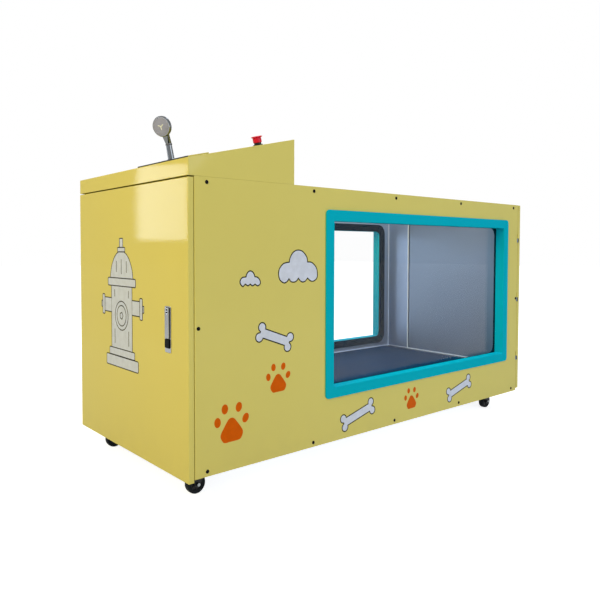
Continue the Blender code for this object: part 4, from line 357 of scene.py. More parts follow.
def moulded(name, colour, gloss, grain=900.0, depth=0.00008, fade=0.85, shine=0.2):
    """Moulded plastic or rubber: a spark-eroded grain and paler, rubbed high spots."""
    made = Finish(name, Specular_IOR_Level=shine)
    slow = made.range(made.noise(12.0, 5.0), 0.3, 0.75)
    base = made.blend(slow, shade_of(colour, fade), shade_of(colour, 1.15))
    rubbed = made.range(made.noise(160.0, 3.0), 0.62, 0.8, 0.0, 0.35)
    made.colour(made.blend(rubbed, base, tuple(c * 1.25 + 0.006 for c in colour)))
    made.rough(made.range(made.noise(30.0, 4.0), 0.3, 0.75, gloss - 0.07, gloss + 0.1))
    made.relief(made.noise(grain, 2.0), depth, 0.6)
    return made.material


def belt_cover():
    """The belt's top: a fine pebbled profile, damp and slightly worn along its middle."""
    made = Finish("belt_cover", Specular_IOR_Level=0.02)
    pebble = made.cells(230.0)
    wear = made.range(made.noise(5.0, 5.0, (0.35, 1.6, 1.0)), 0.35, 0.72)
    base = made.blend(wear, shade_of(BELT, 0.82), shade_of(BELT, 1.22))
    made.colour(made.blend(made.range(pebble, 0.1, 0.55, 0.0, 0.15), base, shade_of(BELT, 0.75)))
    made.rough(made.range(wear, 0.0, 1.0, 0.6, 0.72))
    made.relief(pebble, 0.00006, 0.1)
    return made.material


def edged_plate(name, colour, edge_colour, side):
    """A moulded plate whose short edge, past the given place, is painted like its surroundings."""
    made = Finish(name, Specular_IOR_Level=0.12)
    grain = made.range(made.noise(60.0, 4.0), 0.3, 0.7)
    base = made.blend(grain, shade_of(colour, 0.85), shade_of(colour, 1.15))
    past = made.range(made.along("Y"), side + 0.0002, side)
    made.colour(made.blend(past, base, edge_colour))
    made.rough(made.range(grain, 0.0, 1.0, 0.36, 0.46))
    made.relief(made.noise(900.0, 2.0), 0.00006, 0.4)
    return made.material


def chrome(name, face, edge):
    """Chrome plate with faint water marks, and a painted reflection: bright where it faces out,
    darker towards its edges.
    """
    made = Finish(name, Metallic=1.0)
    marks = made.range(made.noise(70.0, 4.0), 0.35, 0.7)
    # Painted reflection: the colour darkens from face to edge as the surface turns away from the
    # eye
    turn = made.node("ShaderNodeLayerWeight", {"Blend": 0.35})
    bend = made.range(turn.outputs["Facing"], 0.25, 0.85)
    base = made.blend(marks, shade_of(face, 0.94), face)
    made.colour(made.blend(bend, base, edge))
    made.rough(made.range(marks, 0.0, 1.0, 0.15, 0.1))
    made.relief(made.noise(240.0, 2.0), 0.00002, 0.1)
    return made.material


def vinyl(name, colour, gloss=0.35):
    """Printed sticker film: faint blotches in the ink and shallow ripples."""
    made = Finish(name, Specular_IOR_Level=0.05)
    blotch = made.range(made.noise(38.0, 4.0), 0.3, 0.7)
    made.colour(made.blend(blotch, shade_of(colour, 0.93), shade_of(colour, 1.06)))
    made.rough(made.range(made.noise(20.0, 3.0), 0.3, 0.7, gloss - 0.05, gloss + 0.07))
    made.relief(made.noise(260.0, 2.0), 0.00012, 0.3)
    return made.material


def window_glass():
    """Clear pane that lets the lamps through, with a faint film of dried drops."""
    made = Finish("window_glass", Base_Color=(0.998, 0.999, 1.0), Transmission_Weight=1.0, IOR=1.18)
    film = made.range(made.noise(55.0, 5.0), 0.6, 0.85, 0.0, 0.006)
    made.rough(film)
    clear = made.node("ShaderNodeBsdfTransparent", {"Color": (0.93, 0.965, 0.975, 1.0)})
    path = made.node("ShaderNodeLightPath")
    mix = made.node("ShaderNodeMixShader")
    made.link(path.outputs["Is Shadow Ray"], mix.inputs[0])
    made.link(made.shader.outputs[0], mix.inputs[1])
    made.link(clear.outputs[0], mix.inputs[2])
    made.link(mix.outputs[0], made.output.inputs["Surface"])
    return made.material


# Direction of the grain, by the number of waves to the metre along x, y and z
ALONG_X, ALONG_Y = (4.0, 420.0, 420.0), (420.0, 4.0, 420.0)
SHEET_X, SHEET_Z = (1.5, 90.0, 90.0), (90.0, 90.0, 1.5)
NO_GRAIN, FINE_GRAIN = (200.0,) * 3, (300.0,) * 3
LOOKS = {
    "yellow_paint": paint("yellow_enamel", YELLOW, 0.34, 0.26),
    "teal_paint": paint("teal_enamel", TEAL, 0.42, 0.02),
    "blue_paint": paint("motor_blue_enamel", (0.025, 0.085, 0.24), 0.38, 0.1),
    "stainless": brushed("stainless_along", STEEL, 0.46, SHEET_X, relief=0.0),
    # Painted shade in the end wall's steel colour, painted light in the doorway frame's
    "stainless_across": brushed("stainless_across", SHADED_END_STEEL, 0.52, SHEET_Z, relief=0.0),
    # Painted shade on the doorway frame's hinge knuckles past KNUCKLE_EDGE_X
    "stainless_end": brushed("stainless_end", LIT_FRAME_STEEL, 0.52, SHEET_Z, 1.0, KNUCKLE_EDGE_X, 0.0),
    "dark_steel": brushed("dark_steel", (0.1, 0.1, 0.11), 0.45, ALONG_X, 3.0),
    # Painted reflection: the edge colours, and the handset's darker face colour, stand for dark
    # surroundings mirrored in the chrome
    "bright_chrome": chrome("polished_chrome", (0.34, 0.355, 0.37), (0.03, 0.033, 0.04)),
    "handset_chrome": chrome("handset_chrome", (0.132, 0.142, 0.15), (0.014, 0.016, 0.02)),
    "roller_alloy": brushed("roller_alloy", (0.55, 0.56, 0.58), 0.36, ALONG_Y, 4.0),
    "fork_steel": brushed("blackened_steel", (0.026, 0.028, 0.031), 0.42, NO_GRAIN, 8.0),
    "black_rubber": moulded("black_rubber", (0.007, 0.01, 0.013), 0.62, 500.0, 0.00015, 0.85, 0.1),
    "belt_rubber": belt_cover(),
    "black_plastic": moulded("black_plastic", (0.012, 0.013, 0.016), 0.4),
    "grey_plastic": moulded("grey_plastic", (0.19, 0.215, 0.26), 0.45),
    "bed_plastic": moulded("bed_plastic", (0.55, 0.56, 0.55), 0.5, 300.0),
    "red_plastic": moulded("red_plastic", (0.6, 0.006, 0.036), 0.34, 1200.0, 0.00004, 0.92),
    "clear_glass": window_glass(),
    "gasket": moulded("gasket_rubber", (0.002, 0.014, 0.03), 0.7, 500.0, 0.00012, 0.85, 0.0),
    "sealant": moulded("white_sealant", (0.8, 0.9, 1.0), 0.45, 300.0, 0.00008, 0.96),
    "grey_sealant": moulded("grey_sealant", (0.6, 0.69, 0.84), 0.45, 300.0, 0.00008, 0.96),
    "screw": moulded("black_screw", (0.004, 0.004, 0.006), 0.45, 600.0, 0.00002, 0.85, 0.06),
    "dark_rubber": moulded("dark_rubber", (0.004, 0.006, 0.009), 0.62, 700.0, 0.00008, 0.85, 0.06),
    "ray_plastic": moulded("pale_rib", (0.76, 0.8, 0.8), 0.4, 900.0, 0.00003, 0.95),
    "key_plate": edged_plate("key_plate", (0.006, 0.007, 0.009), YELLOW, KEY_PLATE_SIDE_Y),
    "orange_vinyl": vinyl("orange_vinyl", ORANGE),
    "pale_vinyl": vinyl("pale_vinyl", PALE),
    "door_vinyl": vinyl("door_vinyl", DOOR_PALE),
    "ink_vinyl": vinyl("ink_vinyl", INK, 0.4),
    "spray_face": moulded("spray_face_grey", (0.34, 0.365, 0.56), 0.42, 1400.0, 0.00003),
    "key_film": moulded("key_film", (0.03, 0.034, 0.042), 0.3, 1500.0, 0.00003),
    "axle_zinc": brushed("axle_zinc", (0.3, 0.33, 0.34), 0.35, FINE_GRAIN, 12.0),
}
# Nodes that don't take the look of their own slot
SPECIAL = {
    "window_gasket_front": "gasket", "window_gasket_rear": "gasket",
    "service_door_frame": "yellow_paint", "control_panel": "key_plate",
    "latch_button": "dark_rubber", "shower_handset": "handset_chrome",
    "entry_door_frame": "stainless_end", "entry_door_liner": "stainless_across",
    "tank_bulkhead": "stainless_across",
}


def turn_to(direction, origin=(0, 0, 0), side=None):
    """A matrix whose local Z points along the direction."""
    z = Vector(direction).normalized()
    x = Vector(side) if side else (Vector((0, 0, 1)) if abs(z.z) < 0.9 else Vector((1, 0, 0)))
    x = (x - z * x.dot(z)).normalized()
    turned = Matrix((x, z.cross(x), z)).transposed().to_4x4()
    return Matrix.Translation(Vector(origin)) @ turned


def moved(matrix, x, y, z):
    """The matrix moved along its own axes."""
    return matrix @ Matrix.Translation((x, y, z))


def around(matrix, count, phase=0.0):
    """The matrix turned about its own Z into count even places."""
    return [matrix @ Matrix.Rotation(math.tau * (k + phase) / count, 4, "Z") for k in range(count)]


QUARTER_Y = Matrix.Rotation(math.pi / 2, 4, "Y")


class Shape:
    """Vertices and faces gathered from several forms into one piece."""

    def __init__(self):
        self.points = []
        self.faces = []

    def ring(self, points, matrix):
        start = len(self.points)
        self.points += [matrix @ Vector(p) for p in points]
        return list(range(start, len(self.points)))

    def bridge(self, low, high):
        self.faces += zip(low, low[1:] + low[:1], high[1:] + high[:1], high)

    def turned(self, profile, matrix, steps, loop=False, hexed=()):
        """A profile of (radius, height) turned about local Z; the hexed points get six flats."""
        rings = []
        for index, (radius, height) in enumerate(profile):
            if radius < 1e-7:
                rings.append(self.ring([(0, 0, height)], matrix))
                continue
            points = []
            for k in range(steps):
                angle = math.tau * k / steps
                size = radius
                if index in hexed:
                    flat = math.cos((angle % (math.pi / 3)) - math.pi / 6)
                    size *= math.cos(math.pi / 6) / flat
                points.append((size * math.cos(angle), size * math.sin(angle), height))
            rings.append(self.ring(points, matrix))
        pairs = list(zip(rings, rings[1:])) + ([(rings[-1], rings[0])] if loop else [])
        for low, high in pairs:
            if len(low) == 1 or len(high) == 1:
                tip, base = (low[0], high) if len(low) == 1 else (high[0], low)
                self.faces += [(tip, a, b) for a, b in zip(base, base[1:] + base[:1])]
            else:
                self.bridge(low, high)

    def plate(self, outline, matrix, low, high, edge=0.0):
        """A flat outline raised from low to high, its top edge rounded off by edge."""
        levels = [(0.0, low), (0.0, high - edge)]
        if edge:
            levels += [(edge * 0.35, high - edge * 0.35), (edge, high)]
        rings = [self.ring([(x, y, z) for x, y in inset(outline, d)], matrix) for d, z in levels]
        for first, second in zip(rings, rings[1:]):
            self.bridge(first, second)
        self.faces += [tuple(reversed(rings[0])), tuple(rings[-1])]

    def frame(self, outer, inner, matrix, low, high, edge=0.0):
        """A flat ring between two outlines of equal count, its top edges rounded off by edge."""
        levels = [(0.0, low), (0.0, high - edge)] + ([(edge, high)] if edge else [])
        steps = [(outer, d, z) for d, z in levels] + [(inner, -d, z) for d, z in reversed(levels)]
        rings = [self.ring([(x, y, z) for x, y in inset(line, d)], matrix) for line, d, z in steps]
        for first, second in zip(rings, rings[1:] + rings[:1]):
            self.bridge(first, second)

    def bar(self, start, end, radius):
        """A round bar of eight sides from one point to the other."""
        turn = [math.tau * k / 8 for k in range(8)]
        circle = [(radius * math.cos(a), radius * math.sin(a), 0) for a in turn]
        rings = []
        side = None
        for point in (start, end):
            matrix = turn_to(Vector(end) - Vector(start), point, side)
            side = matrix.col[0].to_3d()
            rings.append(self.ring(circle, matrix))
        self.bridge(*rings)
        self.faces += [tuple(reversed(rings[0])), tuple(rings[1])]

    def make(self, name, look, body, slot=None):
        """The finished piece, on its body; corners above 35 degrees stay sharp."""
        mesh = bpy.data.meshes.new(name)
        mesh.from_pydata([tuple(p) for p in self.points], [], self.faces)
        mesh.validate()
        mesh.materials.append(LOOKS[look])
        work = bmesh.new()
        work.from_mesh(mesh)
        bmesh.ops.recalc_face_normals(work, faces=work.faces)
        work.to_mesh(mesh)
        work.free()
        mesh.shade_smooth()
        mesh.set_sharp_from_angle(angle=math.radians(35.0))
        obj = linked(name, mesh)
        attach(obj, body)
        return obj


def inset(outline, distance):
    """The outline drawn in by a distance; it runs counter-clockwise."""
    if not distance:
        return list(outline)
    count = len(outline)
    result = []
    for i in range(count):
        before, here, after = (Vector(outline[(i + k) % count]) for k in (-1, 0, 1))
        first, second = (here - before).normalized(), (after - here).normalized()
        side = Vector((-first.y, first.x))
        normal = side + Vector((-second.y, second.x))
        if first.length and second.length and normal.length > 1e-6:
            normal.normalize()
            here = here + normal * distance / max(0.5, normal.dot(side))
        result.append(tuple(here))
    return result


def wound(outline):
    """The outline made to run counter-clockwise."""
    area = sum(a[0] * b[1] - b[0] * a[1] for a, b in zip(outline, list(outline[1:]) + [outline[0]]))
    return list(outline) if area > 0 else list(reversed(outline))


def arc(centre, radius, start, end, steps, flat=1.0):
    """Points on part of a circle, from start to end in degrees; flat stretches it upwards."""
    turn = [math.radians(start + (end - start) * k / steps) for k in range(steps + 1)]
    x, y = centre
    return [(x + radius * math.cos(a), y + radius * flat * math.sin(a)) for a in turn]


def rounded(width, height, radius, centre=(0.0, 0.0), steps=6):
    """A rectangle with rounded corners."""
    x, y = width / 2 - radius, height / 2 - radius
    points = []
    for sx, sy, start in ((1, 1, 0), (-1, 1, 90), (-1, -1, 180), (1, -1, 270)):
        points += arc((centre[0] + sx * x, centre[1] + sy * y), radius, start, start + 90, steps)
    return points


def curve(a, b, c, d, steps):
    """Points from b up to c on a smooth curve that runs through all four."""
    points = []
    for k in range(steps):
        t = k / steps
        point = []
        for i in (0, 1):
            bend = (2 * a[i] - 5 * b[i] + 4 * c[i] - d[i]) * t * t
            bend += (-a[i] + 3 * b[i] - 3 * c[i] + d[i]) * t ** 3
            point.append(0.5 * (2 * b[i] + (c[i] - a[i]) * t + bend))
        points.append(tuple(point))
    return points


def smooth_lobes(lobes):
    """Closed outline of soft lobes that meet in notches; each starts where the last one ends."""
    result = []
    start = lobes[-1][-1]
    for lobe in lobes:
        ends = [start, start] + lobe + [lobe[-1]]
        start = lobe[-1]
        for four in zip(ends, ends[1:], ends[2:], ends[3:]):
            result += curve(*four, 5)
    return wound(result)


def smooth_loop(points):
    """Closed smooth outline through the points."""
    count = len(points)
    result = []
    for i in range(count):
        result += curve(*(points[(i + k) % count] for k in (-1, 0, 1, 2)), 4)
    return wound(result)


def placed(outline, place, scale=1.0, tilt=0.0):
    """The outline scaled, tilted by degrees and moved to its place."""
    cos, sin = math.cos(math.radians(tilt)) * scale, math.sin(math.radians(tilt)) * scale
    return [(place[0] + x * cos - y * sin, place[1] + x * sin + y * cos) for x, y in outline]


# Widths of the softened edges of the nodes from model.glb
SOFTENED = {
    0.0006: ("control_panel", "latch_button"),
    0.0008: ("entry_latch_upper", "entry_latch_lower", "console_shell"),
    0.001: ("drain_valve_lever",),
    0.0012: ("service_door", "entry_door_panel"),
    0.0015: ("slider_bed",),
    0.002: (
        "window_frame_front", "window_frame_rear", "control_box", "latch_lever", "base_rail_front",
        "base_rail_rear", "base_cross_left", "base_cross_right",
    ),
}
EDGES = {name: width for width, names in SOFTENED.items() for name in names}


def clean_shading():
    """A modifier group that joins the facets and shades them smooth up to a corner."""
    group = bpy.data.node_groups.new("clean_shading", "GeometryNodeTree")
    for way in ("INPUT", "OUTPUT"):
        group.interface.new_socket("Geometry", in_out=way, socket_type="NodeSocketGeometry")
    tree = Tree(group)
    merge = tree.node("GeometryNodeMergeByDistance", {"Distance": 0.00001})
    strip = tree.node("GeometryNodeRemoveAttribute", {"Name": "custom_normal"})
    faces = tree.node("GeometryNodeSetShadeSmooth", {"Shade Smooth": True})
    edges = tree.node("GeometryNodeSetShadeSmooth", {"Shade Smooth": False}, domain="EDGE")
    compare = tree.node("FunctionNodeCompare", {1: math.radians(34)}, operation="GREATER_THAN")
    tree.link(tree.node("GeometryNodeInputMeshEdgeAngle").outputs[0], compare.inputs[0])
    tree.link(compare.outputs[0], edges.inputs["Selection"])
    chain = [tree.node("NodeGroupInput"), merge, strip, faces, edges, tree.node("NodeGroupOutput")]
    for first, second in zip(chain, chain[1:]):
        tree.link(first.outputs[0], second.inputs[0])
    return group


CLEAN = clean_shading()
for name, obj in NODES.items():
    slot_name = obj.data.materials[0].name.split(".")[0]
    obj.data.materials[0] = LOOKS[SPECIAL.get(name, slot_name)]
    obj.modifiers.new("clean_shading", "NODES").node_group = CLEAN
    if name in EDGES:
        bevel = obj.modifiers.new("edges", "BEVEL")
        bevel.width = EDGES[name]
        bevel.segments = 2
        bevel.limit_method = "ANGLE"
        bevel.angle_limit = math.radians(50)
    flat = obj.modifiers.new("flat_faces", "WEIGHTED_NORMAL")
    flat.mode = "FACE_AREA"
    flat.keep_sharp = True


def build_screws():
    """Button-head screws along both side panels and in the middle of their ends."""
    low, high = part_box("side_panel_front")
    places = []
    for i in range(SCREW_COUNT):
        x = SCREW_START + SCREW_STEP * i
        places += [(x, low.z + SCREW_EDGE), (x, high.z - SCREW_EDGE)]
    middle = (low.z + high.z) / 2
    places += [(low.x + SCREW_END_EDGE, middle), (high.x - SCREW_END_EDGE, middle)]
    face = abs(low.y)
    for name, side in (("panel_screws_front", -1), ("panel_screws_rear", 1)):
        heads = Shape()
        for number, (x, z) in enumerate(places):
            turned = Matrix.Rotation(number * 0.7, 4, "Z")
            matrix = turn_to((0, side, 0), (x, side * face, z)) @ turned
            heads.turned(SCREW_HEAD, matrix, 24, hexed=(1, 2))
        heads.make(name, "screw", "tank", "dark_steel")


def bone_outline(length):
    """A straight shaft with two lobes at each end."""
    radius = BONE_HEIGHT / 4
    x, y = length / 2 - radius, BONE_HEIGHT / 4
    meet = math.degrees(math.asin((BONE_SHAFT - y) / radius))
    notch = math.degrees(math.asin(-y / radius * 0.97))
    quarter = arc((x, y), radius, 180 - meet, notch, 16)
    points = []
    for sx, sy in ((1, 1), (1, -1), (-1, -1), (-1, 1)):
        part = [(sx * px, sy * py) for px, py in quarter]
        points += part if sx * sy > 0 else list(reversed(part))
    return wound(points)


def build_panel_prints():
    """Paw prints, bones and clouds on the front side panel."""
    base = turn_to((0, -1, 0), (0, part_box("side_panel_front")[0].y, 0), (1, 0, 0))
    lines, fills, paws = Shape(), Shape(), Shape()
    outlines = [placed(bone_outline(length), place, 1.0, tilt) for place, length, tilt in BONES]
    for outline in outlines + [smooth_lobes(BIG_CLOUD), smooth_lobes(SMALL_CLOUD)]:
        lines.plate(outline, base, PRINT_STEP, PRINT_STEP * 2)
        fills.plate(inset(outline, FIGURE_LINE), base, PRINT_STEP * 2, PRINT_STEP * 3)
    toe = arc((0, 0), 0.0138, 0, 345, 23, 1.3)
    marks = [smooth_loop(PAW_PAD)] + [placed(toe, (x, z), 1.0, lean) for x, z, lean in PAW_TOES]
    for place, scale in PAWS:
        for mark in marks:
            paws.plate(placed(mark, place, scale), base, PRINT_STEP, PRINT_STEP * 2)
    lines.make("figure_outlines", "ink_vinyl", "tank")
    fills.make("bones_and_clouds", "pale_vinyl", "tank")
    paws.make("paw_prints", "orange_vinyl", "tank")


def build_hydrant():
    """A plain drawing of a street hydrant on the service door: outlines with their layers."""
    base = turn_to((-1, 0, 0), HYDRANT_PLACE, (0, -1, 0))
    inks, fills = Shape(), Shape()
    order = [
        (rounded(0.19, 0.3, 0.01, (0, 0.19)), 1),
        (rounded(0.29, 0.048, 0.01, (0, 0.024)), 2),
        (rounded(0.23, 0.034, 0.008, (0, 0.062)), 2),
        *((rounded(0.074, 0.062, 0.006, (x, 0.25)), 1) for x in (-0.126, 0.126)),
        *((rounded(0.026, 0.086, 0.007, (x, 0.25)), 2) for x in (-0.168, 0.168)),
        *((rounded(0.014, 0.03, 0.004, (x, 0.25)), 1) for x in (-0.185, 0.185)),
        (arc((0, 0.35), 0.104, 0, 180, 28, 1.18), 1),
        (rounded(0.252, 0.036, 0.009, (0, 0.346)), 2),
        (rounded(0.07, 0.022, 0.006, (0, 0.476)), 2),
        (rounded(0.034, 0.04, 0.005, (0, 0.503)), 1),
        (arc((0, 0.212), 0.06, 0, 350, 35), 3),
        (arc((0, 0.212), 0.043, 0, 350, 35), 5),
        (arc((0, 0.212), 0.017, 0, 288, 4), 7),
    ]
    for outline, level in order:
        height = PRINT_STEP * level * 2
        inks.plate(outline, base, height - PRINT_STEP, height)
        fills.plate(inset(outline, HYDRANT_LINE), base, height, height + PRINT_STEP)
    slots = ((0.125, 0.06), (0.3, 0.03))
    bars = [(x, z, length) for x in (-0.062, 0.062) for z, length in slots]
    bars += [(x, 0.408, 0.06 - abs(x) * 0.3) for x in (-0.045, 0.0, 0.045)]
    for x, z, length in bars:
        bar = rounded(HYDRANT_LINE, length, 0.002, (x, z), 3)
        inks.plate(bar, base, PRINT_STEP * 3, PRINT_STEP * 4)
    inks.make("hydrant_lines", "ink_vinyl", "service_door")
    fills.make("hydrant_fill", "door_vinyl", "service_door")


def mirrored(half, middle=()):
    """A profile with the same points on the other side of its middle."""
    return [*half, *middle, *((radius, -height) for radius, height in reversed(half))]


def build_casters():
    """Wheels with tyre, ribbed core and axle ends."""
    for corner in CORNERS:
        node = f"caster_wheel_{corner}"
        low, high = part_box(node)
        centre = (low + high) / 2
        matrix = turn_to((0, 1, 0), centre)
        rubber, hub = Shape(), Shape()
        rubber.turned(mirrored(TYRE_HALF, [(0.0375, 0.0)]), matrix, 64, loop=True)
        hub.turned(mirrored(WHEEL_CORE_HALF), matrix, 48, loop=True)
        for side in (-1, 1):
            for spoke in around(matrix, 6):
                spoke = moved(spoke, 0.0165, 0, 0)
                if side < 0:
                    spoke = spoke @ Matrix.Rotation(math.pi, 4, "X")
                hub.plate(rounded(0.012, 0.0028, 0.0008, steps=2), spoke, 0.007, 0.0112, 0.0006)
        tyre_piece = rubber.make(f"caster_tyre_{corner}", "black_rubber", node, "black_rubber")
        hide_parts(node)
        hub.make(f"caster_core_{corner}", "black_plastic", node, "black_plastic")
        fork = f"caster_fork_{corner}"
        fork_low, fork_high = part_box(fork)
        ends = Shape()
        for side, y in ((-1, fork_low.y), (1, fork_high.y)):
            bolt = turn_to((0, side, 0), (centre.x, y, centre.z))
            ends.turned(AXLE_END, bolt, 24, hexed=(1, 2))
        ends.make(f"caster_axle_ends_{corner}", "axle_zinc", fork, "fork_steel")


def build_key_panel():
    """Membrane keys and a display window on the dark plate; they carry no signs."""
    corners = [Vector(v.co) for v in NODES["control_panel"].data.vertices]
    low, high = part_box("control_panel")
    centre = (low + high) / 2
    normal = Vector((-math.sin(CONSOLE_SLOPE), 0, math.cos(CONSOLE_SLOPE)))
    up_hill = Vector((math.cos(CONSOLE_SLOPE), 0, math.sin(CONSOLE_SLOPE)))
    top = max((p - centre).dot(normal) for p in corners)
    base = turn_to(normal, centre + normal * top, up_hill)
    keys, glass, lamps = Shape(), Shape(), Shape()
    glass.plate(rounded(0.05, 0.11, 0.004), moved(base, 0, 0.095, 0), 0.0, 0.0008, 0.0004)
    for row in range(2):
        for column in range(5):
            across = 0.005 - 0.036 * column
            key = moved(base, -0.0175 + 0.035 * row, across, 0)
            keys.plate(rounded(0.026, 0.026, 0.005), key, 0.0, 0.0009, 0.0006)
            if row:
                lamps.turned(CONSOLE_LAMP, moved(base, 0.0355, across, 0), 12)
    keys.make("console_keys", "key_film", "tank", "black_plastic")
    glass.make("console_display", "black_plastic", "tank", "black_plastic")
    lamps.make("console_lamps", "red_plastic", "tank", "red_plastic")


def build_shower_face():
    """The spray plate with its nozzles, three-armed rib and rim, and the handle's band."""
    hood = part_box("console_shell")[0].z + CONSOLE_LOW_WALL
    foot = Vector((*SHOWER_PLACE, hood + SHOWER_UP_SLOPE * math.tan(CONSOLE_SLOPE)))
    head = foot + SHOWER_AXIS * SHOWER_DISC_ALONG + SHOWER_FACE * SHOWER_DISC_FORWARD
    base = turn_to(SHOWER_FACE, head + SHOWER_FACE * SHOWER_HALF, SHOWER_AXIS)
    plate = Shape()
    plate.turned(SPRAY_PLATE, base, 64)
    for radius, count in ((0.009, 8), (0.016, 14), (0.023, 20), (0.029, 26)):
        for k in range(count):
            angle = math.tau * k / count
            spot = moved(base, radius * math.cos(angle), radius * math.sin(angle), 0.001)
            plate.turned(NOZZLE, spot, 8)
    plate.make("shower_spray_plate", "spray_face", "shower_handset", "bright_chrome")
    rays = Shape()
    for k in range(3):
        arm = moved(base @ Matrix.Rotation(math.tau * k / 3 + math.pi, 4, "Z"), 0.007, 0, 0.001)
        rays.plate(rounded(0.013, 0.0036, 0.0016, steps=3), arm, 0.0, 0.0014, 0.0006)
    rays.turned(SPRAY_BUTTON, base, 32)
    rays.make("shower_star", "ray_plastic", "shower_handset", "bright_chrome")
    collar = turn_to(SHOWER_AXIS, foot + SHOWER_AXIS * SHOWER_COLLAR_ALONG)
    band, rim = Shape(), Shape()
    band.turned(SHOWER_BAND, collar, 48, loop=True)
    band.make("shower_handle_band", "dark_steel", "shower_handset", "bright_chrome")
    rim.turned(SHOWER_RIM, base, 64, loop=True)
    rim.make("shower_rim", "bright_chrome", "shower_handset", "bright_chrome")


def build_beads():
    """Pale sealant in the tank's corners and along the deck, and the entry doorway's trim."""
    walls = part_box("tank_wall_rear")[0].y - SEALANT_RADIUS
    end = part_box("entry_door_frame")[0].x - SEALANT_RADIUS
    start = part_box("tank_bulkhead")[1].x + SEALANT_RADIUS
    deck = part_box("running_belt")[1].z
    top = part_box("tank_bulkhead")[1].z
    beads = Shape()
    for y in (-walls, walls):
        for x in (end, start):
            beads.bar((x, y, deck), (x, y, top), SEALANT_RADIUS)
        beads.bar((start, y, deck), (end, y, deck), SEALANT_RADIUS)
    beads.bar((end, -walls, deck), (end, walls, deck), SEALANT_RADIUS)
    beads.make("tank_sealant", "grey_sealant", "tank", "grey_plastic")
    trim = Shape()
    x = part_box("entry_door_frame")[0].x - TRIM_SETBACK
    (y0, z0), (y1, z1) = DOORWAY_LOW, DOORWAY_HIGH
    corners = [(x, y0, z0), (x, y1, z0), (x, y1, z1), (x, y0, z1)]
    for first, second in zip(corners, corners[1:] + corners[:1]):
        trim.bar(first, second, TRIM_RADIUS)
    trim.make("doorway_trim", "sealant", "tank", "grey_plastic")


def build_latch_trim():
    """The bezel and dark liner of the swing-handle latch on the service door."""
    low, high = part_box("latch_lever")
    rim = (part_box("service_door")[0].x, (low.y + high.y) / 2, LATCH_MIDDLE_Z)
    base = turn_to((-1, 0, 0), rim, (0, -1, 0))
    bezel, liner = Shape(), Shape()
    outer = rounded(0.041, 0.164, 0.003)
    inner = rounded(0.0302, 0.1446, 0.002, LATCH_OPENING)
    bezel.frame(outer, inner, base, 0.0001, 0.0013, 0.0005)
    bezel.make("latch_bezel", "bright_chrome", "service_door", "bright_chrome")
    outer = rounded(0.0309, 0.1452, 0.0016, LATCH_OPENING)
    inner = rounded(0.0303, 0.1446, 0.0014, LATCH_OPENING)
    liner.frame(outer, inner, base, -0.0103, 0.0009)
    liner.plate(rounded(0.0303, 0.1436, 0.0014, LATCH_FLOOR), base, -0.0104, -0.0102)
    liner.make("latch_liner", "dark_steel", "service_door", "dark_steel")


def cooling_fins(shape, axis, count, place, size, height):
    """Fins all round a motor but for the side that it stands on."""
    for out in around(axis, count, 0.5):
        out = moved(out, *place)
        if (out.to_3x3() @ Vector((1, 0, 0))).z < -0.35:
            continue
        shape.plate(rounded(*size, steps=2), out @ QUARTER_Y, 0.0, height, 0.0005)


def build_drive_details():
    """Fins, terminal box and fan grille of the motor, bolts and nipples of the bearings, rims."""
    low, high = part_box("drive_motor")
    radius = (high.x - low.x) / 2
    centre = Vector(((low.x + high.x) / 2, (low.y + high.y) / 2, high.z - radius))
    axis = turn_to((0, 1, 0), centre)
    body = Shape()
    cooling_fins(body, axis, 28, (radius - 0.0006, 0, -0.004), (0.136, 0.0022, 0.0009), 0.0042)
    inside, outside = radius + 0.0002, radius + 0.0034
    fan_band = [(inside, -0.092), (outside, -0.09), (outside, -0.078), (inside, -0.076)]
    body.turned(fan_band, axis, 48, loop=True)
    box_place = turn_to((0, 0, 1), centre + Vector((0, 0.012, radius - 0.004)), (0, 1, 0))
    body.plate(rounded(0.078, 0.062, 0.006), box_place, 0.0, 0.026, 0.0015)
    body.plate(rounded(0.084, 0.068, 0.007), box_place, 0.0262, 0.031, 0.0015)
    body.make("motor_fins", "blue_paint", "tank", "blue_paint")
    small = Shape()
    for x, y in ((-1, -1), (-1, 1), (1, -1), (1, 1)):
        small.turned(BOX_SCREW, moved(box_place, 0.035 * x, 0.027 * y, 0.031), 16)
    gland = turn_to((0, 1, 0), centre + Vector((0, 0.012 + 0.039, radius + 0.01)))
    small.turned(MOTOR_GLAND, gland, 24, hexed=(1, 2))
    for near in (0.012, 0.02, 0.028, 0.036):
        far = near + 0.003
        ring = [(near, 0.1), (near, 0.1012), (far, 0.1012), (far, 0.1)]
        small.turned(ring, axis, 48, loop=True)
    small.make("motor_fittings", "dark_rubber", "tank", "black_plastic")
    bolts = Shape()
    for node, side in (("drive_bearing_front", -1), ("drive_bearing_rear", 1)):
        low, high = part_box(node)
        middle = (low + high) / 2
        face = low.y if side < 0 else high.y
        for k in range(4):
            angle = math.tau * (k + 0.5) / 4
            x, z = middle.x + 0.0275 * math.cos(angle), middle.z + 0.0275 * math.sin(angle)
            bolts.turned(BEARING_BOLT, turn_to((0, side, 0), (x, face, z)), 24, hexed=(1, 2, 3))
        nipple = turn_to((0.2, 0, 1), (middle.x, middle.y, high.z - 0.0004))
        bolts.turned(GREASE_NIPPLE, nipple, 16)
    bolts.make("bearing_bolts", "axle_zinc", "tank", "dark_steel")
    rims = Shape()
    low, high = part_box("drive_pulley")
    wheel = turn_to((0, 1, 0), (low + high) / 2)
    half = (high.y - low.y) / 2
    for side in (-1, 1):
        near, far = side * half - side * 0.0004, side * half + side * 0.0006
        rim = [(0.018, near), (0.018, far), (0.034, far), (0.034, near)]
        rims.turned(rim, wheel, 48, loop=True)
    for spot in around(wheel, 5):
        rims.turned(PULLEY_SCREW, moved(spot, 0.026, 0, -half - 0.0006), 20)
    rims.make("drive_pulley_rims", "axle_zinc", "drive_roller", "dark_steel")


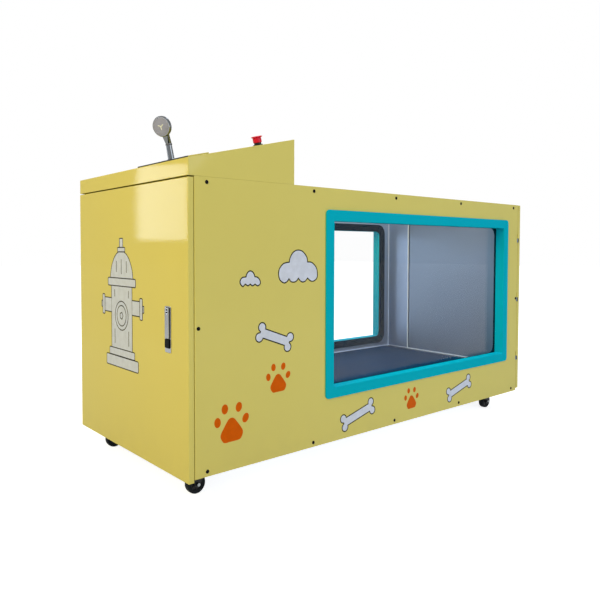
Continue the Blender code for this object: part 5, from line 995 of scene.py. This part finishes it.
def build_water_details():
    """Fins, bolts and terminal box of the pump, ribs and rings of the filter, nuts on the pipe."""
    low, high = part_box("circulation_pump")
    middle = (low.y + high.y) / 2
    pump = Shape()
    axis = turn_to((1, 0, 0), (low.x, middle, PUMP_AXIS_Z))
    cooling_fins(pump, axis, 24, (0.0474, 0, 0.086), (0.11, 0.002, 0.0008), 0.004)
    pump.turned(PUMP_BAND, axis, 48, loop=True)
    top = turn_to((0, 0, 1), (low.x + 0.085, middle, PUMP_AXIS_Z + 0.045), (1, 0, 0))
    pump.plate(rounded(0.066, 0.052, 0.006), top, 0.0, 0.022, 0.0015)
    pump.plate(rounded(0.07, 0.056, 0.006), top, 0.0222, 0.0265, 0.0015)
    pump.make("pump_fins", "black_plastic", "tank", "black_plastic")
    zinc = Shape()
    for spot in around(turn_to((-1, 0, 0), (low.x + PUMP_VOLUTE_X, middle, PUMP_AXIS_Z)), 6):
        zinc.turned(PUMP_BOLT, moved(spot, 0.0545, 0, 0), 24, hexed=(1, 2, 3))
    zinc.make("pump_bolts", "axle_zinc", "tank", "dark_steel")
    low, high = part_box("filter_housing")
    radius = (high.y - low.y) / 2
    upright = Matrix.Translation(Vector((low.x + radius, (low.y + high.y) / 2, 0)))
    lid = Shape()
    for rib in around(upright, 32):
        rib = moved(rib, radius - 0.0004, 0, high.z - 0.02) @ QUARTER_Y
        lid.plate(rounded(0.02, 0.0046, 0.0016, steps=2), rib, 0.0, 0.0024, 0.0009)
    cap = [(0.0, 0.006), (0.021, 0.006), (0.024, 0.003), (0.025, 0.0), (0.0, 0.0)]
    lid.turned([(near, high.z + up) for near, up in cap], upright, 48)
    for height in (0.2, 0.235):
        band = [(0.0701, 0.0), (0.0722, 0.002), (0.0722, 0.009), (0.0701, 0.011)]
        lid.turned([(near, height + up) for near, up in band], upright, 64, loop=True)
    lid.make("filter_lid_ribs", "grey_plastic", "tank", "grey_plastic")
    nuts = Shape()
    pump_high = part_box("circulation_pump")[1]
    low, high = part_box("filter_pipe")
    middle = (low.y + high.y) / 2
    outlet = turn_to((0, 0, 1), (high.x - 0.018, middle, pump_high.z - 0.014))
    inlet = turn_to((1, 0, 0), (low.x + 0.001, middle, PIPE_INLET_Z))
    for place in (outlet, inlet):
        nuts.turned(PIPE_NUT, place, 48, loop=True, hexed=(2, 3))
    nuts.make("pipe_nuts", "black_plastic", "tank", "black_plastic")


def build_control_box_details():
    """Lid with hinges and turn locks, and the cable glands under the box."""
    low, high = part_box("control_box")
    middle = (low + high) / 2
    face = turn_to((0, -1, 0), (middle.x, low.y, middle.z), (1, 0, 0))
    lid, dark = Shape(), Shape()
    lid.plate(rounded(0.262, 0.322, 0.01), face, 0.0001, 0.004, 0.0015)
    for z in (-0.1, 0.1):
        hinge = turn_to((0, 0, 1), (low.x + 0.006, low.y - 0.002, middle.z + z - 0.018))
        lid.turned(HINGE_BARREL, hinge, 20)
    lid.make("control_box_lid", "grey_plastic", "tank", "grey_plastic")
    for z in (-0.11, 0.11):
        lock = turn_to((0, -1, 0), (high.x - 0.024, low.y - 0.004, middle.z + z))
        dark.turned(TURN_LOCK, lock, 32)
        dark.plate(rounded(0.011, 0.0022, 0.0008, steps=2), lock, 0.0028, 0.0046, 0.0004)
    for k in range(4):
        gland = turn_to((0, 0, -1), (low.x + 0.055 + 0.056 * k, middle.y, low.z))
        dark.turned(BOX_GLAND, gland, 36, hexed=(1, 2))
    dark.make("control_box_fittings", "dark_rubber", "tank", "black_plastic")


def build_pedal_ribs():
    """Raised ribs on the brake pedals."""
    for corner in ("front_left", "front_right"):
        node = f"brake_pedal_{corner}"
        low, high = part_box(node)
        rib = rounded(0.0018, (high.y - low.y) * 0.7, 0.0008, steps=2)
        ribs = Shape()
        for k in range(5):
            place = (low.x + 0.006 + 0.0042 * k, (low.y + high.y) / 2, high.z - PEDAL_TOP_DROP)
            ribs.plate(rib, turn_to((0, 0, 1), place, (1, 0, 0)), 0.0, 0.001, 0.0004)
        ribs.make(f"pedal_ribs_{corner}", "fork_steel", node, "fork_steel")


def build_stage():
    """A plain white floor that keeps the shadow, and a white world behind it."""
    mesh = bpy.data.meshes.new("floor")
    half = FLOOR_HALF
    square = [(-half, -half, 0), (half, -half, 0), (half, half, 0), (-half, half, 0)]
    mesh.from_pydata(square, [], [(0, 1, 2, 3)])
    floor = linked("floor", mesh)
    colour = (0.62, 0.61, 0.6)
    made = Finish("floor_white", Base_Color=colour, Roughness=0.9, Specular_IOR_Level=0.0)
    away = made.node("ShaderNodeVectorMath", operation="LENGTH")
    made.link(made.place, away.inputs[0])
    glow = made.range(away.outputs["Value"], *FLOOR_REACH, *FLOOR_GLOW)
    made.shader.inputs["Emission Color"].default_value = WHITE
    strength = made.maths("MULTIPLY", made.looked_at(), glow)
    made.link(strength, made.shader.inputs["Emission Strength"])
    mesh.materials.append(made.material)
    world = bpy.data.worlds.new("studio")
    SCENE.world = world
    world.use_nodes = True
    sky = Tree(world.node_tree)
    mix = sky.node("ShaderNodeMixShader")
    sky.link(sky.looked_at(), mix.inputs[0])
    for socket, colour, strength in ((1, SKY, WORLD_LIGHT), (2, WHITE, 1.0)):
        light = sky.node("ShaderNodeBackground", {"Color": colour, "Strength": strength})
        sky.link(light.outputs[0], mix.inputs[socket])
    sky.link(mix.outputs[0], sky.node("ShaderNodeOutputWorld").inputs[0])


def lamp(name, place, aim, size, power, colour):
    """A soft lamp: a disc of one diameter, or a panel of width and height."""
    data = bpy.data.lights.new(name, "AREA")
    if isinstance(size, tuple):
        data.shape = "RECTANGLE"
        data.size, data.size_y = size
    else:
        data.shape = "DISK"
        data.size = size
    data.energy = power
    data.color = colour
    obj = linked(name, data)
    obj.visible_camera = False
    obj.location = place
    obj.rotation_mode = "QUATERNION"
    obj.rotation_quaternion = (Vector(aim) - Vector(place)).to_track_quat("-Z", "Y")


def build_camera():
    """The camera of the photograph."""
    data = bpy.data.cameras.new("camera")
    data.lens = CAMERA_LENS
    data.sensor_width = CAMERA_SENSOR
    data.sensor_fit = "HORIZONTAL"
    data.shift_x, data.shift_y = CAMERA_SHIFT
    data.clip_start, data.clip_end = CAMERA_CLIP
    camera = linked("camera", data)
    turned = Matrix((CAMERA_RIGHT, CAMERA_UP, -CAMERA_FORWARD)).transposed().to_4x4()
    camera.matrix_world = Matrix.Translation(CAMERA_PLACE) @ turned
    SCENE.camera = camera


build_screws()
build_panel_prints()
build_hydrant()
build_casters()
build_key_panel()
build_shower_face()
build_beads()
build_latch_trim()
build_drive_details()
build_water_details()
build_control_box_details()
build_pedal_ribs()
build_stage()
lamp("key", (-4.6, -1.2, 3.2), (-0.6, 0.0, 0.6), 2.4, 130.0, (1.0, 0.81, 0.3))
lamp("strip", (-3.01, 3.19, 1.365), (-1.076, -0.32, 0.96), (0.51, 0.77), 11.8, (0.89, 0.95, 1.0))
lamp("fill", (0.6, -5.0, 2.6), (0.2, -0.4, 0.6), 3.0, 92.0, (0.88, 0.92, 1.0))
lamp("back", (3.2, 4.2, 2.6), (0.5, 0.1, 0.6), 2.8, 46.0, (0.96, 0.98, 1.0))
lamp("top", (0.3, 0.2, 4.4), (0.3, 0.0, 0.5), 2.6, 72.0, (0.84, 0.92, 1.0))
build_camera()
SCENE.view_settings.view_transform = "Standard"
